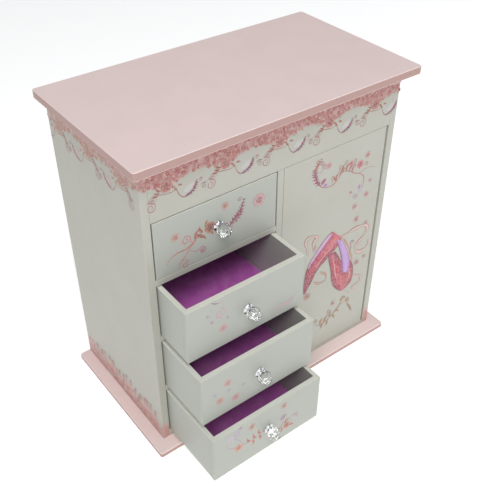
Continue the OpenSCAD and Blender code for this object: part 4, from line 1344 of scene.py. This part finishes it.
# %% Sprays on the drawers
def drawer_print(n):
    p = Print(seed=40 + n)
    if n == 1:
        p.stroke([(-94.7, 171.6), (-92.5, 175.6), (-86, 178.0), (-79.5, 178.3), (-74.5, 180.6),
                  (-69, 184.6), (-62, 187.5)], 1.0, CORAL)
        p.stroke([(-85.9, 164.0), (-84.6, 168.5), (-80, 173.2), (-76, 178.2), (-71, 182.4)], 0.95, ROSE)
        p.curl((-79.2, 185.2), 3.9, -0.6, 1.45, 0.85, ROSE, [(-72.8, 178.9), (-74.4, 182.0)])
        p.curl((-66.8, 171.6), 3.2, 2.6, -1.4, 0.8, tint("b05a86"), [(-76.5, 176.0), (-72.5, 173.0)])
        p.curl((-80.3, 165.4), 2.7, 1.0, 1.3, 0.7, CORAL, [(-82.5, 170.0), (-79.4, 169.8)])
        for b, t in (((-72, 181.5), (-68.5, 190.5)), ((-69.5, 183.5), (-63.2, 179.2)),
                     ((-66, 186), (-68.6, 192.0)), ((-64, 186), (-57.5, 180.2)),
                     ((-62.5, 187.5), (-62, 194.6)), ((-66.5, 184.5), (-72.8, 188.0))):
            p.leaf(b, t, 2.5, RUST, BROWN)
        p.rose((-60.2, 187.4), 4.9, tint("7d3326"), tint("a5523c"), tint("b98a70"), 0.9)
        p.feather([(-44.8, 180.2), (-42.0, 184.2), (-37.6, 188.0), (-34.4, 192.0), (-32.6, 197.2)], 3.2,
                  tint("a02c58"), DEEP_PLUM, 1.6, 2.8)
        p.feather([(-42.4, 182.0), (-38.0, 184.6), (-33.6, 190.0)], 2.6, PLUM, RED, 0.8, 2.6)
        p.curl((-35.6, 199.6), 1.9, 0.2, 1.1, 0.6, PLUM)
        p.curl((-43.8, 180.4), 2.1, 0.9, -1.2, 0.7, tint("b05a86"))
        p.daisy((-87.2, 191.2), 3.1, BLUSH, CORAL)
        p.daisy((-47.7, 199.4), 3.0, BLUSH, CORAL)
        p.daisy((-19.3, 192.4), 5.0, tint("d3a8a2"), ROSE, 13)
        p.daisy((-66.8, 171.6), 1.5, BLUSH, ROSE, 6)
    elif n == 2:
        p.stroke([(-83.4, 156.6), (-80.5, 154.2), (-76.5, 152.8)], 0.9, PLUM)
        p.curl((-76.8, 143.4), 4.3, 1.35, -1.7, 0.8, tint("c08aa6"), [(-76.5, 152.8), (-72.8, 149.6)])
        p.daisy((-74.0, 129.0), 3.4, BLUSH, ROSE)
        for u, v in ((-83.0, 139), (-86.5, 146), (-70.2, 136.6)):
            p.daisy((u, v), 1.3, PALE_LILAC, LILAC, 6)
        p.feather([(-31.0, 118.0), (-24.5, 121.5), (-17.5, 121.0), (-12.0, 124.5)], 2.4, PALE_LILAC, BLUSH,
                  0.6, 2.6)
    elif n == 3:
        p.daisy((-81.0, 91.6), 3.5, BLUSH, ROSE)
        p.daisy((-88.1, 77.8), 3.2, BLUSH, CORAL)
        p.daisy((-74.6, 72.6), 3.3, BLUSH, ROSE)
        for u, v in ((-92.4, 86.2), (-80.4, 83.4), (-67.8, 81.2)):
            p.daisy((u, v), 1.2, PALE_LILAC, LILAC, 6)
    else:
        p.stroke([(-92.4, 42.6), (-88.2, 37.0), (-80.5, 34.0), (-72, 31.8), (-64.5, 31.6), (-58.5, 34.4)],
                 0.95, tint("b0748c"))
        p.curl((-83.6, 49.6), 3.6, -1.9, 1.5, 0.75, LILAC, [(-76.6, 33.0), (-79.6, 39.4), (-84.4, 44.8)])
        p.curl((-88.6, 47.0), 2.5, 0.4, 1.3, 0.6, PALE_LILAC, [(-86.0, 37.5)])
        p.daisy((-79.4, 53.4), 1.6, LILAC, PLUM, 6)
        for b, t in (((-70, 31.4), (-73.6, 37.4)), ((-68, 31.2), (-68.6, 25.2)),
                     ((-65, 31.4), (-67.6, 38.0)), ((-62.5, 32.4), (-61.4, 26.0)),
                     ((-61, 33.4), (-62.6, 39.6)), ((-58.6, 34.4), (-56.0, 29.4))):
            p.leaf(b, t, 2.3, CORAL, BROWN)
        p.rose((-81.0, 32.4), 3.9, CORAL, tint("cf8a74"), PEACH, 0.2)
        p.daisy((-69.0, 47.0), 3.1, BLUSH, CORAL)
        p.stroke([(-50.0, 25.4), (-44.5, 24.2), (-40.5, 27.2), (-38.2, 31.6)], 0.9, BROWN)
        p.curl((-39.0, 35.4), 2.7, -0.4, 1.3, 0.8, PLUM)
        p.petal((-42.0, 33.2), 0.9, 4.0, 2.5, LILAC, MAGENTA)
        p.rose((-35.6, 23.4), 3.7, tint("9c3b2c"), CORAL, PEACH, 1.3)
        for b, t in (((-37.5, 26.5), (-33.0, 31.0)), ((-40, 24), (-42.5, 19.0)),
                     ((-33.2, 21.5), (-28.6, 19.6))):
            p.leaf(b, t, 2.0, CORAL, BROWN)
        p.daisy((-39.1, 48.4), 2.7, BLUSH, CORAL)
        p.curl((-26.0, 28.6), 2.4, 2.9, -1.3, 0.6, BLUSH, [(-33.0, 25.0), (-30.0, 31.0)])
    return p


for n in (1, 2, 3, 4):
    printed(f"drawer_{n}_print", drawer_print(n), on_front(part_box(f"drawer_{n}_front")[0].y), f"drawer_{n}",
            INK)

# %% [markdown]
# ## The door
# The tall door carries the main picture: a scroll at the top, a pair of satin dancing shoes with their
# ribbons flying, and a small flourish below. A shoe is a few panels of satin. Each panel lies between two
# edges, and its colours run across it in columns that change from the heel to the toe.

# %% The shoes
def panel(p, left, right, stations, rows=46, crinkle=0.22):
    """A satin panel between two edges drawn downwards; each station is a row of inks from left to right."""
    p.height += p.step
    a, b = smooth_path([Vector(q) for q in left], 0.4), smooth_path([Vector(q) for q in right], 0.4)
    last, grid = len(stations) - 1, []
    for i in range(rows + 1):
        t = i / rows
        l, r = a[round(t * (len(a) - 1))], b[round(t * (len(b) - 1))]
        k = min(int(t * last), max(last - 1, 0))
        line = []
        for j, (x, y) in enumerate(zip(stations[k], stations[min(k + 1, last)])):
            q = l + (r - l) * j / (len(stations[0]) - 1)
            fold = crinkle * noise.noise(Vector((q.x * 0.55, q.y * 0.3, 1.7)))
            line.append(p._put(q, blended(blended(x, y, t * last - k), tint("f0b0b4") if fold > 0
                                          else tint("5c1030"), abs(fold) * 1.4)))
        grid.append(line)
    for r, q in zip(grid, grid[1:]):
        for k in range(len(r) - 1):
            p.faces.append((r[k], q[k], q[k + 1], r[k + 1]))


def row_of(*webs):
    return [tint(w) for w in webs]


def pair_of_shoes(p):
    dark = tint("7a1838")
    one_left = [(54.5, 131.8), (50.5, 130.0), (44.0, 124.8), (38.6, 118.6), (33.4, 112.2), (30.2, 105.4),
                (28.7, 97.7), (28.1, 89.0), (28.3, 80.4)]
    one_right = [(66.0, 121.2), (62.6, 114.8), (56.4, 110.6), (50.4, 106.0), (43.8, 101.8), (39.0, 96.4),
                 (35.6, 89.8), (32.2, 84.6), (29.4, 79.8)]
    panel(p, one_left, one_right, (row_of("b0405c", "c04c62", "cc626c", "d4727a", "c2586a", "a83a56"),
                                   row_of("96244a", "a82a4c", "b23250", "c4485e", "a82c4a", "8c2042"),
                                   row_of("8a2048", "9c264a", "b23654", "be4a60", "9c2846", "801c3e"),
                                   row_of("6c1c44", "8c2448", "a83a58", "983050", "7c2040", "6a1a38")))
    panel(p, [(51.0, 130.6), (44.2, 124.9), (38.8, 118.8), (33.6, 112.4), (30.3, 106.4)],
          [(55.6, 129.4), (50.0, 123.4), (44.4, 118.2), (38.4, 113.4), (31.6, 105.6)],
          (row_of("a87fae", "c79cc4", "d6b0cc", "c08ab4", "a04a78"),
           row_of("9a78ac", "c09ccb", "cfaacd", "bb86bb", "a0467a")), 30, 0.08)
    p.stroke([(56.4, 129.0), (50.4, 122.8), (44.8, 117.8), (38.8, 113.0), (32.2, 105.6)], 1.3,
             tint("a02a5c"), 0.3, 0.2, 0.15)
    two_left = [(52.2, 110.2), (53.6, 103.0), (55.8, 95.6), (57.4, 88.6), (58.6, 80.8), (61.0, 73.4),
                (65.6, 66.4), (71.0, 61.6)]
    two_right = [(60.2, 109.4), (65.0, 101.4), (69.6, 93.6), (78.6, 91.6), (82.4, 83.0), (83.2, 74.0),
                 (81.4, 66.0), (74.0, 61.2)]
    panel(p, two_left, two_right, (row_of("8c2446", "a02c4c", "b43a58", "a02c4c", "8a2244", "7c1c3e"),
                                   row_of("941f40", "b83250", "c4485c", "a82a4a", "b43c56", "8c2444"),
                                   row_of("8c1e3c", "b8324c", "c85864", "b44458", "c25a60", "94283e"),
                                   row_of("80203a", "a03048", "b44c58", "b8545c", "a03c4c", "802438")))
    panel(p, [(60.6, 120.6), (64.2, 111.4), (67.4, 101.4), (69.4, 91.4), (70.8, 82.4)],
          [(66.4, 118.0), (72.4, 107.0), (76.4, 97.0), (78.4, 87.4), (77.6, 79.6)],
          (row_of("a070b0", "c09ad4", "b88cd0", "cbaade", "a470b4"),
           row_of("9664a8", "b890d2", "c7a6de", "b88cd0", "94609f")), 30, 0.08)
    p.stroke([(70.2, 84.0), (72.6, 80.6), (75.6, 79.4), (79.0, 81.0)], 1.2, tint("8a2060"), 0.4, 0.4, 0.2)
    p.stroke([(60.4, 120.4), (64.0, 111.4), (67.2, 101.4), (69.2, 91.4), (70.4, 83.0)], 0.8, tint("7f3f86"),
             0.4, 0.4, 0.2)
    for edge in (one_left[4:], one_right, two_left, two_right[3:]):
        p.stroke(edge, 0.8, dark, 0.4, 0.4, 0.3)
    for shine in ([(60.0, 118.0), (52.0, 113.6), (44.0, 107.4), (37.6, 99.6)],
                  [(57.6, 104.0), (60.6, 94.0), (62.6, 84.0), (66.4, 74.0)],
                  [(77.6, 84.0), (79.4, 76.0), (77.6, 68.4)]):
        p.stroke(shine, 1.1, tint("d98890"), 0.2, 0.2, 0.5)
    for fold in ([(56.8, 115.2), (50.6, 110.0), (43.2, 105.0)], [(33.6, 100.0), (32.0, 92.4), (30.4, 85.6)],
                 [(63.6, 98.0), (67.2, 88.4), (70.4, 76.0)], [(74.6, 77.4), (75.2, 70.6), (72.6, 64.6)]):
        p.stroke(fold, 0.9, dark, 0.2, 0.2, 0.35)


def door_print():
    p = Print(seed=70, step=0.001)
    scrolls = tint("a85c66")
    # scroll across the top and down the right
    p.stroke([(33.0, 199.0), (31.4, 193.4), (34.0, 185.4), (38.8, 179.6), (44.5, 177.0), (50.9, 176.8),
              (55.6, 180.4), (59.8, 184.4), (66, 183.0), (72.9, 178.4), (78.5, 177.0), (86.0, 178.6),
              (95.0, 176.0)], 1.0, scrolls)
    p.stroke([(72.9, 178.0), (79.4, 175.4), (83.2, 170.4), (82.8, 164.0), (79.6, 158.4), (76.8, 154.6)],
             0.95, scrolls)
    p.feather([(38.8, 179.8), (35.2, 184.0), (32.6, 189.4), (31.0, 195.6)], 4.0, tint("a02c5c"), DEEP_PLUM,
              1.6, 3.1)
    p.feather([(31.6, 194.0), (33.2, 199.0), (36.2, 203.0)], 2.8, RUST, RED, 0.8, 2.5)
    p.curl((33.6, 202.6), 1.8, 0.5, 1.3, 0.55, RUST)
    p.curl((40.6, 196.0), 2.2, 2.6, -1.4, 0.6, RUST, [(34.6, 193.0), (38.0, 192.4)])
    p.curl((37.6, 199.6), 2.3, -1.4, 1.3, 0.7, RED)
    p.petal((38.2, 181.6), 0.7, 6.4, 3.6, MAGENTA, PLUM)
    p.petal((40.6, 180.0), -0.2, 4.6, 2.6, LILAC, MAGENTA)
    p.daisy((44.8, 195.4), 3.0, BLUSH, ROSE)
    for b, t in (((53.0, 178.4), (56.0, 186.2)), ((56.2, 181.0), (62.4, 188.0)),
                 ((60.0, 184.2), (60.6, 191.4)), ((62.4, 184.0), (67.4, 190.4)),
                 ((54.6, 179.2), (50.6, 184.6)), ((66.0, 183.0), (70.6, 187.6)),
                 ((69.4, 180.8), (72.6, 187.2))):
        p.leaf(b, t, 2.0, RUST, BROWN)
    for u, v, r, turn in ((56.6, 189.6, 2.2, 1.3), (62.8, 191.6, 2.0, -1.3), (49.4, 183.4, 1.9, 1.2),
                          (71.4, 190.2, 1.9, 1.3)):
        p.curl((u, v), r, 4.2, turn, 0.55, VINE, [(u + 1.2, v - 7.0), (u + 0.6, v - 3.6)])
    p.petal((66.8, 186.6), 1.2, 5.0, 3.2, ROSE, RED)
    p.rose((77.4, 184.6), 4.2, tint("9c3b4c"), ROSE, BLUSH, 0.6)
    p.curl((84.2, 182.6), 2.2, 3.3, -1.2, 0.6, scrolls)
    p.daisy((84.6, 190.4), 2.7, BLUSH, CORAL)
    p.petal((80.0, 166.2), -1.9, 5.2, 2.6, LILAC, MAGENTA)
    p.petal((82.4, 161.2), -2.3, 4.6, 2.3, PALE_LILAC, LILAC)
    p.curl((75.6, 156.8), 2.6, 0.2, -1.3, 0.7, LILAC)
    for c, r in (((88.2, 153.4), 2.7), ((76.6, 146.4), 2.6), ((80.2, 132.4), 2.8), ((90.6, 165.4), 1.5),
                 ((70.4, 162.0), 1.4)):
        p.daisy(c, r, BLUSH, ROSE)
    # ribbons behind the shoes, then the shoes over them
    silk = row_of("ad7470", "cba9a1", "d6c2b8", "caa8a0", "a0625f")
    p.ruffled([(38.7, 123.9), (36.6, 121.4), (35.0, 129.2), (38.6, 133.0), (34.0, 136.3), (28.6, 136.3),
               (27.0, 132.7), (29.0, 126.2), (30.4, 120.1)], 3.4, silk, 3)
    p.ruffled([(64.6, 121.7), (72.4, 122.6), (81.9, 123.4), (90.0, 122.6), (94.7, 118.8), (93.2, 113.9),
               (89.2, 109.2), (84.1, 105.4), (83.0, 101.0), (87.0, 96.0), (92.8, 96.0), (97.6, 99.5),
               (98.0, 104.0)], 3.6, silk, 5)
    p.ruffled([(82.5, 73.1), (90.7, 69.0), (94.8, 63.6), (91.8, 60.3), (85.2, 58.9), (87.6, 53.5)], 2.4,
              silk, 2)
    p.ruffled([(44.9, 95.4), (51.4, 89.6), (51.2, 83.8), (44.4, 83.6), (38.6, 88.1)], 2.4,
              row_of("8a5444", "b98c78", "cdb0a0", "b98c78", "8a5444"), 1)
    p.petal((90.0, 123.6), 0.4, 4.2, 3.0, tint("b9877a"), tint("a86458"))
    p.petal((36.0, 122.0), 1.2, 4.6, 2.6, tint("b9807a"), tint("a8605c"))
    pair_of_shoes(p)
    p.ruffled([(67.6, 119.0), (73.2, 110.0), (77.8, 100.0), (80.6, 91.0)], 1.8,
              row_of("a8564c", "cf9a84", "c88a78", "a8564c"), 1)
    p.curl((78.6, 110.4), 2.2, 3.6, -1.1, 0.7, tint("a8605c"), [(75.9, 99.5), (77.6, 105.0)])
    for c, r in (((32.4, 75.8), 3.3), ((86.6, 85.2), 2.8), ((22.6, 104.4), 1.7), ((95.0, 88.0), 1.6)):
        p.daisy(c, r, BLUSH, CORAL)
    # flourish at the foot
    tan, honey = tint("a8683f"), tint("c9a06c")
    p.stroke([(43.4, 37.4), (50.0, 33.8), (57.0, 34.6), (64.0, 38.8), (70.0, 43.0), (76.0, 46.6)], 0.7, tan)
    p.curl((44.6, 40.8), 2.4, 3.9, -1.4, 0.55, tint("b5705c"))
    for b, t in (((50.0, 34.4), (52.6, 41.0)), ((54.0, 34.2), (58.4, 40.4)), ((58.0, 34.8), (56.6, 28.6)),
                 ((60.6, 37.2), (62.4, 43.8)), ((63.0, 38.0), (66.4, 32.0)), ((52.6, 34.0), (50.0, 28.8)),
                 ((66.6, 40.6), (71.4, 38.0))):
        p.leaf(b, t, 1.7, tint("b5703f"), BROWN)
    p.curl((74.4, 50.4), 3.8, -2.0, 1.5, 0.75, tan, [(68.0, 42.0), (70.6, 44.6)])
    p.curl((80.4, 45.8), 2.8, 2.4, -1.4, 0.7, tan, [(74.0, 46.0)])
    p.petal((73.0, 47.0), 0.6, 6.0, 3.6, blended(honey, PAPER, 0.35), honey)
    p.curl((58.6, 44.6), 1.9, -1.8, 1.3, 0.5, tint("b5705c"), [(57.0, 37.4)])
    p.feather([(80.0, 43.0), (83.4, 38.0), (86.6, 31.4)], 1.8, tint("b5703f"), BROWN, 0.5, 2.4)
    p.daisy((63.1, 51.6), 2.1, BLUSH, CORAL)
    for u, v in ((80.2, 54.4), (83.6, 57.6), (77.0, 57.8)):
        p.petal((u, v), 1.0, 1.3, 1.2, ROSE)
    return p


printed("door_print", door_print(), on_front(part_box("door_panel")[0].y), "door", INK)

# %% [markdown]
# ## The floor
# A wide pale sheet. It belongs to the stage and not to the object.

# %% Floor
floor_mesh = bpy.data.meshes.new("floor")
floor_mesh.from_pydata([(-6, -6, -0.0002), (6, -6, -0.0002), (6, 6, -0.0002), (-6, 6, -0.0002)], [],
                       [(0, 1, 2, 3)])
floor = bpy.data.objects.new("floor", floor_mesh)
floor_mesh.materials.append(finish_of("pale_floor", Base_Color=(0.93, 0.93, 0.93, 1), Roughness=0.9,
                                      Emission_Color=(1, 1, 1, 1), Emission_Strength=0.42))
scene.collection.objects.link(floor)
